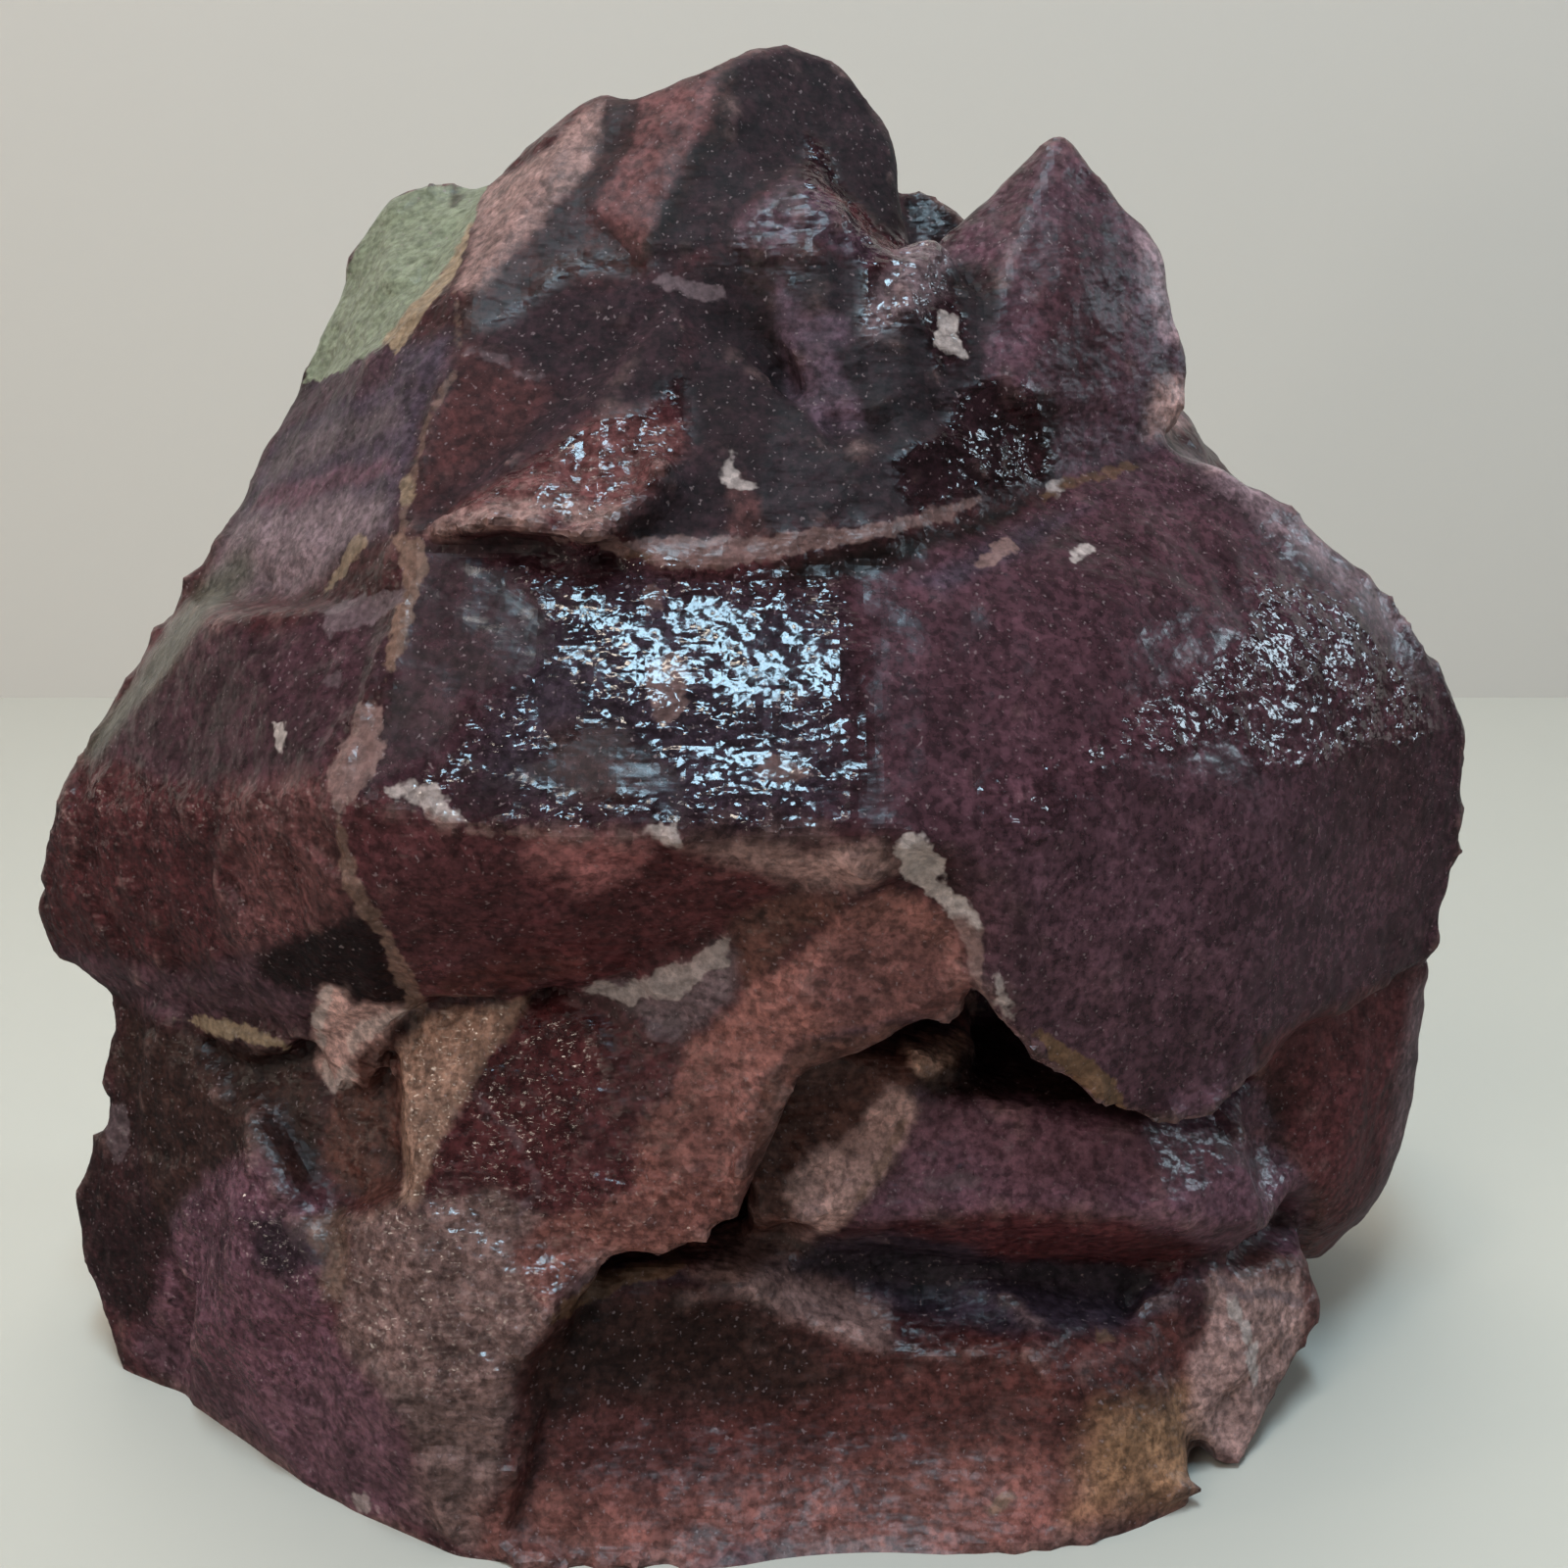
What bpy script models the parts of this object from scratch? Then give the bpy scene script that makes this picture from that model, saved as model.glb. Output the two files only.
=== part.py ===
"""A broken lump of purple fluorite with a green corner, standing on its cleaved base.

The stone grew as one piece, so it is one solid. It is roughed out from convex blocks, each
given by its corners in millimetres as seen from the front: X runs right, Y runs away from
the viewer and Z up. The blocks are fused, hollowed where the real stone broke in shells,
roughened and cut flat where it stands.
"""

import math

import bmesh
import bpy
from mathutils import Euler, Vector

MM = 0.001

STONE_NAME = "fluorite"
STONE_COLOUR = (0.085, 0.038, 0.062, 1.0)
STONE_ROUGHNESS = 0.32

FUSE_VOXEL = 1.3 * MM
SCOOP_SCALE = 15.0 * MM
SCOOP_HEIGHT = 1.8 * MM
CHIP_SCALE = 5.0 * MM
CHIP_HEIGHT = 0.8 * MM
SUNK_SHARE = 0.35
KEPT_FACES = 0.058
HOLLOW_SUBDIVISIONS = 4
FLOOR_SIDE = 400 * MM

# The upper mass: a summit, the shoulder left of it, the green corner and the fin
PEAK = [
    (-6.5, 2, 153.5), (0, 8, 155.5), (6, 10, 154), (11.5, 8, 146), (13.5, 2, 134.5),
    (-15, -11, 134.5), (-10.5, -12, 129.5), (-10, -18, 112), (13.5, -14, 114),
    (-3, -10, 134.5), (-10, 14, 150), (-12, 14, 120), (-4, 24, 150), (10, 26, 142),
    (-20, 34, 122), (16, 32, 120), (-14, 30, 100), (16, 30, 100),
]
PINK_FACET = [
    (-6.5, 2, 153.5), (-16, 4, 150), (-22, -5, 138.5), (-15, -11, 134.5),
    (-16, 14, 146), (-6, 16, 150), (-14, 8, 124), (-22, 6, 126),
]
SHOULDER = [
    (-17, 4, 150), (-20, 6, 150.5), (-22, 7, 149), (-28, 8, 143.5), (-33, 9, 140.5),
    (-35, 3, 136), (-38.5, -3, 129), (-43, -7, 123.5), (-34, -12, 128.5),
    (-37.5, -20, 117), (-38.5, -28, 107), (-22, -5, 138.5), (-27, -24, 112),
    (-14, -12, 130), (-14, -18, 112), (-18, 22, 144), (-34, 28, 132), (-40, 20, 105),
    (-10, 20, 105),
]
GREEN_CORNER = [
    (-33.5, 12, 140.5), (-37, 14, 139.5), (-45.5, 15, 138.5), (-49, 15, 133.5),
    (-52, 14, 127), (-55.5, 10, 118.5), (-43, -5, 123.5), (-38.5, -1, 129),
    (-35, 5, 136), (-36, 27, 134), (-48, 27, 128), (-54, 25, 112), (-36, 34, 110),
]
GLINT_LEDGE = [
    (-11, -14, 128.5), (-16, -20, 118), (-23.5, -26, 113), (-32.5, -28, 110.5),
    (-36, -30, 107), (-26, -34, 110), (-19, -34, 107.5), (-15.5, -32, 109),
    (-11, -27, 114), (-34, -8, 107), (-12, -8, 107), (-12, -2, 124),
    (-30, -6, 116),
]
LILAC_BLADE = [
    (-3, -11, 134.5), (-1, -14, 126.5), (3, -18.5, 118.5), (7, -19, 116),
    (6, -13, 129.5), (4, -12, 135), (-2, 2, 132), (8, 2, 130), (8, -4, 116),
    (0, -4, 118),
]
LILAC_SHELF = [
    (-4.5, -5, 141), (3, -4, 143), (10.5, -9, 133.5), (6, -11, 136),
    (-3, -9, 137), (2, -11, 137), (0, 8, 140), (9, 8, 136), (0, 0, 132),
    (8, 0, 130),
]
MIDDLE_LUMP = [
    (9, -12, 130.5), (13.5, -13, 128.5), (16.5, -15, 121.5), (10, -19, 117.5),
    (17, -6, 135), (12, -6, 134), (22, -10, 126), (21, -14, 119), (4, -9, 129),
    (4, -14, 119), (10, 4, 130), (20, 4, 126), (6, -4, 114), (18, -4, 114),
]
FIN = [
    (30, 4, 146), (36, 4, 139), (42.5, 4, 133), (43, 2, 125.5), (45.5, 2, 119.5),
    (45, 0, 116), (42.5, -2, 113), (29.5, -10, 113), (24, -14, 119.5),
    (20.5, -13, 122.5), (23, -8, 130), (27.5, -3, 136), (31.5, -7, 129),
    (21, 8, 137.5), (16, 2, 133), (31, 13, 143), (40, 16, 130), (41, 18, 110),
    (20, 20, 130), (18, 24, 105),
]
SADDLE = [
    (12, 18, 140), (17, 19, 140.5), (22, 17, 137), (26, 18, 128), (10, 28, 120),
    (26, 26, 112), (10, 10, 118), (24, 8, 118),
]
LIP = [
    (-24, -29, 106.5), (-15.5, -31, 105), (-9.5, -31.5, 104), (0, -30, 104),
    (10, -27, 105.5), (19, -20.5, 107), (27.5, -13, 108.5), (-12, -24, 107.5),
    (-5, -23, 112), (5, -23, 114), (15, -18.5, 116), (24, -14, 114),
    (-22, -4, 106), (10, 0, 106), (26, 2, 110), (-8, 0, 118), (20, 4, 120),
]
LIP_END = [
    (24, -15, 108), (27.5, -13, 108), (35.5, -7, 110.5), (43, -2, 113), (30, -10, 116),
    (22, -14, 116), (24, 4, 110), (40, 8, 112), (24, 2, 118),
]

# The left flank, from the green corner down to the foot that overhangs at the left
UPPER_FLANK = [
    (-55.5, 10, 118.5), (-65, 6, 101.5), (-70, 5, 94.5), (-43, -7, 123.5),
    (-34, -12, 128.5), (-37.5, -20, 117), (-38.5, -28, 107), (-39.5, -32, 99),
    (-56, -12, 95), (-50, 30, 112), (-64, 34, 92), (-34, 20, 120), (-34, 10, 96),
]
LOWER_FLANK = [
    (-70, 5, 94), (-77, 3, 85), (-84, 1, 73.5), (-86, 0, 69), (-39.5, -30, 100),
    (-40, -36, 94), (-43.5, -43, 83), (-62, -15, 96), (-65, -20, 72), (-62, 34, 96),
    (-78, 26, 62), (-40, 10, 96), (-40, -10, 66),
]
FOOT = [
    (-86, 0, 70), (-86, 0, 64), (-91.5, 5, 55), (-91, 6, 49), (-80.5, 0, 45.5),
    (-75.5, -6, 46.5), (-56.5, -28, 61.5), (-41.5, -43, 72.5), (-43.5, -43, 83),
    (-63, -22, 70), (-38.5, -34, 58), (-56, -22, 48.5), (-86, 22, 60),
    (-82, 24, 46), (-46, 10, 44), (-38, -8, 50), (-70, 22, 80),
]
FOOT_RIM = [
    (-69, -13, 47.5), (-55.5, -24, 49.5), (-54, -24, 47.5), (-62, -18, 45.5),
    (-66, -4, 48), (-54, -12, 49),
]

# The great slab across the front, with its glassy face and the band below it
SLAB_LEFT = [
    (-38.5, -28, 107), (-28, -27, 105), (-10, -26, 102.5), (6, -22, 103),
    (-35, -36, 95), (-15.5, -39.5, 94), (6, -38.5, 94), (-43.5, -43, 83),
    (-28, -46.5, 81.5), (-15, -48, 81), (6.5, -47.5, 81), (-41.5, -43, 72.5),
    (-38.5, -34, 58), (-21.5, -35, 60.5), (-10, -36, 64), (-1, -39, 70.5),
    (11.5, -44, 78.5), (-40, 0, 105), (6, 0, 103), (-38, 0, 58), (0, 0, 62),
]
SLAB_RIGHT = [
    (4, -22, 103), (4, -38.5, 94), (19.5, -17, 105.5), (42.5, -2, 112), (55, -2, 106.5),
    (67.5, 0, 97), (76.5, 2, 86), (81, 4, 77.5), (80.5, 4, 62.5), (78.5, 2, 49),
    (66, -9, 48.5), (58, -18, 49), (52.5, -24, 51.5), (50, -28, 46.5),
    (44, -32, 44.5), (38, -36, 46), (30, -41, 52), (23.5, -44, 58.5),
    (17.5, -47, 67), (17.5, -48, 73.5), (13, -48, 80.5), (6.5, -47.5, 81),
    (20, -34, 95), (34, -27, 99), (34.5, -38, 84), (34, -40, 68), (48, -31, 66),
    (50, -27, 80), (49, -20, 95), (62, -16, 80), (62, -15, 62), (64, -9, 92),
    (52, 16, 104), (75, 22, 84), (73, 20, 52), (20, 4, 105), (20, -10, 56),
    (45, -6, 47),
]

# The bridge that runs from under the slab down to the front, and the recess beside it
BRIDGE_TOP = [
    (18, -41, 60.5), (10, -40, 57.5), (3, -40, 56), (13, -47, 80), (17.5, -46.5, 73),
    (5, -42, 76), (-10, -35, 61), (-20, -33, 59), (0, -40, 51.5), (-6, -38, 48),
    (16, -8, 60), (0, -8, 50), (-20, -8, 56), (8, -8, 74),
]
BRIDGE_FOOT = [
    (3, -40, 56), (0, -40, 51.5), (-4, -41, 46.5), (-4.5, -41, 39), (-10.5, -40, 34.5),
    (-20.5, -41, 32), (-39, -37.5, 37.5), (-27, -33, 56), (-10.5, -34, 55),
    (-20.5, -38, 41), (-18, -31, 62), (0, -8, 52), (-6, -8, 34), (-36, -8, 36),
    (-28, -8, 62),
]
TAN_TRIANGLE = [
    (-41.5, -27, 56), (-27, -33, 59), (-26, -29, 63), (-39, -38, 37.5),
    (-41, -8, 60), (-24, -8, 62), (-34, -8, 36), (-44, -22, 38),
]
SPUR = [
    (-50.5, -26, 58), (-39.5, -34, 59), (-44, -28, 48), (-50, -25, 44.5),
    (-51.5, -25, 50.5), (-48, -14, 56), (-44, -16, 50),
]
SHADED_HOLLOW = [
    (-49.5, -22, 48), (-50.5, -22, 43.5), (-60, -21, 41), (-54, -28, 31),
    (-41.5, -30, 36.5), (-42, -23, 54), (-69, -10, 47), (-70, -12, 34),
    (-42, -4, 54), (-66, 2, 46), (-66, 2, 30), (-42, -4, 34),
]
SPOON = [
    (14, -28, 47.5), (13, -31.5, 39.5), (3, -35, 33), (-2, -30, 31), (2, -20, 40.5),
    (7.5, -20, 45.5), (-4, -28, 28.5), (12, -6, 46), (0, -6, 30), (10, -6, 30),
]
BELLY = [
    (7.5, -28, 44), (14, -28, 45.5), (26.5, -29, 44), (38.5, -28, 41.5),
    (55.5, -20, 36.5), (60, -17, 30.5), (21, -33.5, 34.5), (42.5, -32, 32.5),
    (55.5, -23, 27), (5, -33, 32.5), (11, -29, 29), (33, -26, 24.5), (49, -23, 23),
    (0, -28, 27), (0, -4, 30), (56, 8, 40), (10, -4, 48), (50, -4, 44),
    (20, -4, 20), (60, 8, 14),
]
ROUND_FLANK = [
    (54, -11, 47), (56, -12, 36), (61, -13, 29), (66, -9, 22.5), (71, -4, 36.5),
    (80, 6, 49), (81.5, 9, 36.5), (80.5, 10, 24), (77, 9, 13.5), (67.5, 3, 8),
    (72, 36, 44), (72, 36, 20), (62, 34, 4), (50, 10, 4), (48, 10, 48),
]
SHARD = [
    (39.5, -29, 19), (45.5, -25, 22), (52.5, -23, 21), (62, -14, 18), (63.5, -14, 11),
    (59, -18, 5.5), (55.5, -24, 6.5), (52, -30, 0.6), (49, -31, 1), (45.5, -32, 7),
    (44, -8, 24), (62, -2, 18), (56, -8, -3), (46, -10, -3),
]

# The lower left: two knuckles, the glittering ridge and the tongue in front of them
UPPER_KNUCKLE = [
    (-80, -2, 46), (-82.5, -2, 36), (-81, -4, 31.5), (-67.5, -13, 46), (-66, -15, 33),
    (-80, 18, 44), (-80, 18, 32), (-60, 6, 46), (-60, 6, 32),
]
LOWER_KNUCKLE = [
    (-81, -4, 32), (-84.5, -2, 25.5), (-87.5, -2, 19.5), (-86.5, -4, 12),
    (-83.5, -6, 6.5), (-80.5, -9, -3), (-72, -14, -3), (-74, -13, 26), (-67, -15, 33),
    (-82, 18, 30), (-84, 16, 16), (-78, 20, -3), (-60, 10, -3), (-60, 10, 34),
]
GLITTER_RIDGE = [
    (-59.5, -25, 42), (-60.5, -30, 26), (-69, -22, 11.5), (-72, -14, -3),
    (-61.5, -24, -3), (-49, -36, -3), (-60, -30, 12.5), (-49, -34, 30),
    (-49, -37, 25), (-56, -24, 38), (-62, -4, 44), (-72, -2, -3), (-45, -2, -3),
    (-45, -2, 44),
]
TONGUE = [
    (-52, -30, 31), (-48, -36.5, 26), (-39, -38, 38), (-20.5, -41, 32),
    (-24.5, -43, 30), (-26.5, -46, 22), (-31, -46.5, -3), (-33.5, -46, -3),
    (-49, -36, -3), (-49, -37.5, 20), (-41, -45, 16), (-22, -10, 32),
    (-28, -10, -3), (-50, -10, -3), (-50, -10, 34),
]
POCKET_WALL = [
    (-3, -27, 33), (50, -21, 29), (50, -24, 10), (-3, -29, 14), (-3, 0, 33),
    (50, 0, 29), (50, 0, 10), (-3, 0, 14),
]
SKIRT = [
    (-25, -37, 28), (-10.5, -34, 28.5), (-2, -34, 26), (7.5, -37, 20.5),
    (17, -39, 17.5), (29.5, -38, 17.5), (41.5, -31, 17.5), (44.5, -35, 5),
    (45, -37, -3), (36, -40, 11), (-31, -45.5, -3), (-18.5, -48, -3), (4, -48, -3),
    (26, -45.5, -3), (37, -42, -3), (-30, -4, -3), (50, -4, -3), (-25, -8, 28),
    (40, -4, 16), (10, -8, 26),
]

# The inside and the back, which the blocks in front rest against
CORE = [
    (-60, 0, -3), (-30, -14, -3), (40, -14, -3), (56, 4, -3), (-66, 36, -3),
    (56, 40, -3), (-52, 4, 98), (50, 2, 100), (-30, -10, 60), (2, -10, 60),
    (-46, 36, 96), (46, 34, 92), (-18, 14, 124), (14, 14, 124), (-8, 36, 112),
]
BACK_MASS = [
    (-58, 38, -3), (-30, 50, 10), (24, 52, 8), (54, 40, -3), (-62, 34, 66),
    (-42, 46, 60), (8, 53, 56), (52, 42, 64), (-44, 36, 104), (-14, 44, 101),
    (30, 42, 98), (-60, 10, 20), (58, 10, 20), (-40, 0, 100), (40, 0, 100),
    (-30, 20, -3), (40, 20, -3),
]
BACK_LEFT_FLANK = [
    (-86, 12, 34), (-80, 26, 10), (-58, 42, -3), (-34, 50, 16), (-40, 48, 52),
    (-56, 40, 84), (-66, 30, 90), (-84, 20, 58), (-40, 10, 20), (-40, 10, 80),
]
BACK_LOW_BOSS = [
    (-42, 46, -3), (-26, 54, 12), (-12, 57, 30), (10, 55, 22), (20, 50, -3),
    (-30, 50, 44), (-2, 54, 50), (-30, 20, -3), (10, 20, 50), (10, 20, -3),
]
BACK_RIGHT_FLANK = [
    (26, 52, 4), (62, 38, -3), (79, 24, 26), (78, 22, 78), (60, 32, 98),
    (36, 46, 92), (26, 54, 66), (34, 55, 36), (30, 10, 10), (30, 10, 90),
    (70, 10, 60),
]
BACK_HIGH_SLOPE = [
    (-46, 36, 106), (-34, 44, 88), (-6, 52, 76), (20, 49, 88), (34, 40, 108),
    (10, 36, 128), (-22, 36, 124), (-30, 10, 90), (30, 10, 90), (0, 10, 120),
]
RIGHT_SHOULDER = [
    (16, 0, 104), (50, 4, 107), (46, 16, 116), (62, 20, 98), (20, 24, 122),
    (18, 36, 108), (58, 34, 94), (10, 6, 112), (40, 2, 114), (20, 10, 92),
]
LEFT_SHOULDER = [
    (-54, 20, 116), (-63, 26, 100), (-40, 30, 128), (-20, 34, 130), (-26, 42, 108),
    (-58, 36, 88), (-30, 10, 96), (-20, 10, 122), (-44, 8, 112),
]
BACK_CREST = [
    (-30, 33, 126), (-12, 31, 137), (-4, 29, 144), (12, 27, 139), (24, 33, 118),
    (4, 46, 106), (-22, 44, 106), (26, 40, 102), (0, 10, 100), (0, 10, 140),
    (-20, 14, 120),
]

BLOCKS = [
    PEAK, PINK_FACET, SHOULDER, GREEN_CORNER, GLINT_LEDGE, LILAC_BLADE, LILAC_SHELF,
    MIDDLE_LUMP, FIN, SADDLE, LIP, LIP_END, UPPER_FLANK, LOWER_FLANK, FOOT, FOOT_RIM,
    SLAB_LEFT, SLAB_RIGHT, BRIDGE_TOP, BRIDGE_FOOT, TAN_TRIANGLE, SPUR,
    SHADED_HOLLOW, SPOON, BELLY, ROUND_FLANK, SHARD, UPPER_KNUCKLE, LOWER_KNUCKLE,
    GLITTER_RIDGE, TONGUE, POCKET_WALL, SKIRT, CORE, BACK_MASS, BACK_LEFT_FLANK,
    BACK_LOW_BOSS, BACK_RIGHT_FLANK, BACK_HIGH_SLOPE, RIGHT_SHOULDER, LEFT_SHOULDER,
    BACK_CREST,
]

# Shell-shaped hollows: centre, radii and tilt of the ellipsoid that leaves each one
HOLLOWS = {
    "skirt_hollow": ((6, -49, 15), (36, 13, 19), (-28, 4, 0)),
    "pocket": ((14, -36, 24), (16, 10, 5), (0, 8, 0)),
    "dish": ((12, -48.5, 67), (10, 9.5, 10), (0, 20, 0)),
    "back_scallop": ((-20, 64, 72), (24, 15, 22), (0, 24, 8)),
    "back_bite": ((34, 62, 16), (20, 12, 17), (20, 0, -12)),
    "tongue_scoop": ((-22, -48, 51), (17, 10, 13), (0, 30, 0)),
    "flank_scoop": ((62, -22, 38), (9, 13, 13), (0, 10, 20)),
}


def clear_scene():
    for obj in list(bpy.data.objects):
        bpy.data.objects.remove(obj, do_unlink=True)


def collection(name):
    made = bpy.data.collections.new(name)
    bpy.context.scene.collection.children.link(made)
    return made


def add_object(name, mesh, home):
    obj = bpy.data.objects.new(name, mesh)
    home.objects.link(obj)
    return obj


def add_block(rough, corners):
    """Adds the convex block that spans these corners to the rough bmesh."""
    points = [rough.verts.new(Vector(corner) * MM) for corner in corners]
    made = bmesh.ops.convex_hull(rough, input=points)
    loose = {v for v in made["geom_interior"] if isinstance(v, bmesh.types.BMVert)}
    bmesh.ops.delete(rough, geom=list(loose), context="VERTS")


def rough_stone(home):
    rough = bmesh.new()
    for corners in BLOCKS:
        add_block(rough, corners)
    mesh = bpy.data.meshes.new(STONE_NAME)
    rough.to_mesh(mesh)
    rough.free()
    return add_object(STONE_NAME, mesh, home)


def add_cutter(name, shape, home):
    """Adds a bmesh as an object that only cuts, and frees it."""
    mesh = bpy.data.meshes.new(name)
    shape.to_mesh(mesh)
    shape.free()
    cutter = add_object(name, mesh, home)
    cutter.hide_render = True
    cutter.display_type = "WIRE"
    return cutter


def hollow_cutter(name, centre, radii, tilt, home):
    shape = bmesh.new()
    bmesh.ops.create_icosphere(shape, subdivisions=HOLLOW_SUBDIVISIONS, radius=1.0)
    bmesh.ops.scale(shape, vec=Vector(radii) * MM, verts=shape.verts)
    turn = Euler([math.radians(angle) for angle in tilt]).to_matrix()
    bmesh.ops.rotate(shape, matrix=turn, verts=shape.verts)
    bmesh.ops.translate(shape, vec=Vector(centre) * MM, verts=shape.verts)
    return add_cutter(name, shape, home)


def floor_cutter(home):
    """A block under the stone, whose top is the plane that the base is cleaved to."""
    shape = bmesh.new()
    bmesh.ops.create_cube(shape, size=FLOOR_SIDE)
    bmesh.ops.translate(shape, vec=(0, 0, -FLOOR_SIDE / 2), verts=shape.verts)
    return add_cutter("floor", shape, home)


def fuse(stone, name):
    """Gives everything under it one closed skin of small even faces."""
    remesh = stone.modifiers.new(name, "REMESH")
    remesh.mode = "VOXEL"
    remesh.voxel_size = FUSE_VOXEL


def cut(stone, cutter):
    boolean = stone.modifiers.new(cutter.name, "BOOLEAN")
    boolean.operation = "DIFFERENCE"
    boolean.solver = "EXACT"
    boolean.object = cutter


def roughen(stone, name, scale, height):
    """Breaks the surface into shallow scoops with raised edges between them."""
    cells = bpy.data.textures.new(name, "VORONOI")
    cells.distance_metric = "DISTANCE_SQUARED"
    cells.noise_scale = scale
    scoops = stone.modifiers.new(name, "DISPLACE")
    scoops.texture = cells
    scoops.texture_coords = "LOCAL"
    scoops.strength = height
    scoops.mid_level = SUNK_SHARE


def thin_out(stone):
    decimate = stone.modifiers.new("thin_out", "DECIMATE")
    decimate.ratio = KEPT_FACES


def stone_material():
    material = bpy.data.materials.new(STONE_NAME)
    material.use_nodes = True
    shader = material.node_tree.nodes["Principled BSDF"]
    shader.inputs["Base Color"].default_value = STONE_COLOUR
    shader.inputs["Roughness"].default_value = STONE_ROUGHNESS
    shader.inputs["Metallic"].default_value = 0.0
    return material


def stand_on_origin(stone, cutters):
    """Moves stone and cutters so that the middle of the stone's underside is the origin."""
    bpy.context.view_layer.update()
    shape = stone.evaluated_get(bpy.context.evaluated_depsgraph_get())
    corners = [Vector(corner) for corner in shape.bound_box]
    middle = sum(corners, Vector()) / len(corners)
    for obj in [stone, *cutters.objects]:
        obj.location = (-middle.x, -middle.y, 0)


def main():
    clear_scene()
    stones = collection("fluorite_specimen")
    cutters = collection("cutters")
    stone = rough_stone(stones)
    fuse(stone, "fuse_blocks")
    for name, (centre, radii, tilt) in HOLLOWS.items():
        cut(stone, hollow_cutter(name, centre, radii, tilt, cutters))
    roughen(stone, "scoops", SCOOP_SCALE, SCOOP_HEIGHT)
    roughen(stone, "chips", CHIP_SCALE, CHIP_HEIGHT)
    fuse(stone, "fuse_breaks")
    thin_out(stone)
    cut(stone, floor_cutter(cutters))
    stone.data.materials.append(stone_material())
    stand_on_origin(stone, cutters)


main()
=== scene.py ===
"""A broken lump of purple fluorite on a pale floor, dressed for a close look.

The lump is one piece of mineral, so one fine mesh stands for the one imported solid. Its skin is
broken into tilted grain faces and scoops, and its colours lie in named zones: each is an outline
in millimetres on the face that it colours, seen from the front and sixteen degrees above.
"""

import math
import random

import bmesh
import bpy
import numpy as np
from mathutils import Euler, Matrix, Vector


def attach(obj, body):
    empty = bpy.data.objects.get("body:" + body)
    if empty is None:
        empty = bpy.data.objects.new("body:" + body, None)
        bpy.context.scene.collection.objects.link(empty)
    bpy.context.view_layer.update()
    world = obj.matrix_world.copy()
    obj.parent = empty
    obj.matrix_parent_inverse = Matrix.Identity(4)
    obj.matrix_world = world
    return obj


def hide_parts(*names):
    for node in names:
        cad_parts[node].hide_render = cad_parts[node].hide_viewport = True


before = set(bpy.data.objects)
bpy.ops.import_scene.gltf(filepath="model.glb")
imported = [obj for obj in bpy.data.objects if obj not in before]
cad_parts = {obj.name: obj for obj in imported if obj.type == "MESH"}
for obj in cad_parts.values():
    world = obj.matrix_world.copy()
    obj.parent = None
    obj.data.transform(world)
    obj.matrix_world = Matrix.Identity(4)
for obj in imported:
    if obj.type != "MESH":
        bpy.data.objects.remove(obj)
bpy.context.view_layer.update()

MM = 0.001
VIEW_PITCH = math.radians(16)
VIEW_POINT = Vector((4.894, -250.27, 143.0)) * MM

# The palette of the stone, as the eye sees each shade in soft light
SHADES = {
    "plum": (0.250, 0.162, 0.190),
    "dark_plum": (0.205, 0.125, 0.148),
    "wine": (0.280, 0.140, 0.152),
    "dark_wine": (0.215, 0.098, 0.104),
    "red_brown": (0.305, 0.155, 0.142),
    "umber": (0.215, 0.125, 0.105),
    "slate_violet": (0.260, 0.215, 0.260),
    "lilac": (0.335, 0.245, 0.290),
    "grey_lilac": (0.430, 0.355, 0.370),
    "dusty_pink": (0.540, 0.420, 0.400),
    "rose": (0.445, 0.275, 0.272),
    "pink_brown": (0.405, 0.252, 0.230),
    "tan": (0.500, 0.385, 0.335),
    "cream": (0.600, 0.505, 0.410),
    "ochre": (0.455, 0.335, 0.240),
    "sage": (0.500, 0.515, 0.430),
    "pale_sage": (0.600, 0.600, 0.530),
    "deep_sage": (0.360, 0.400, 0.330),
    "chalk": (0.760, 0.690, 0.670),
}

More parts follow.
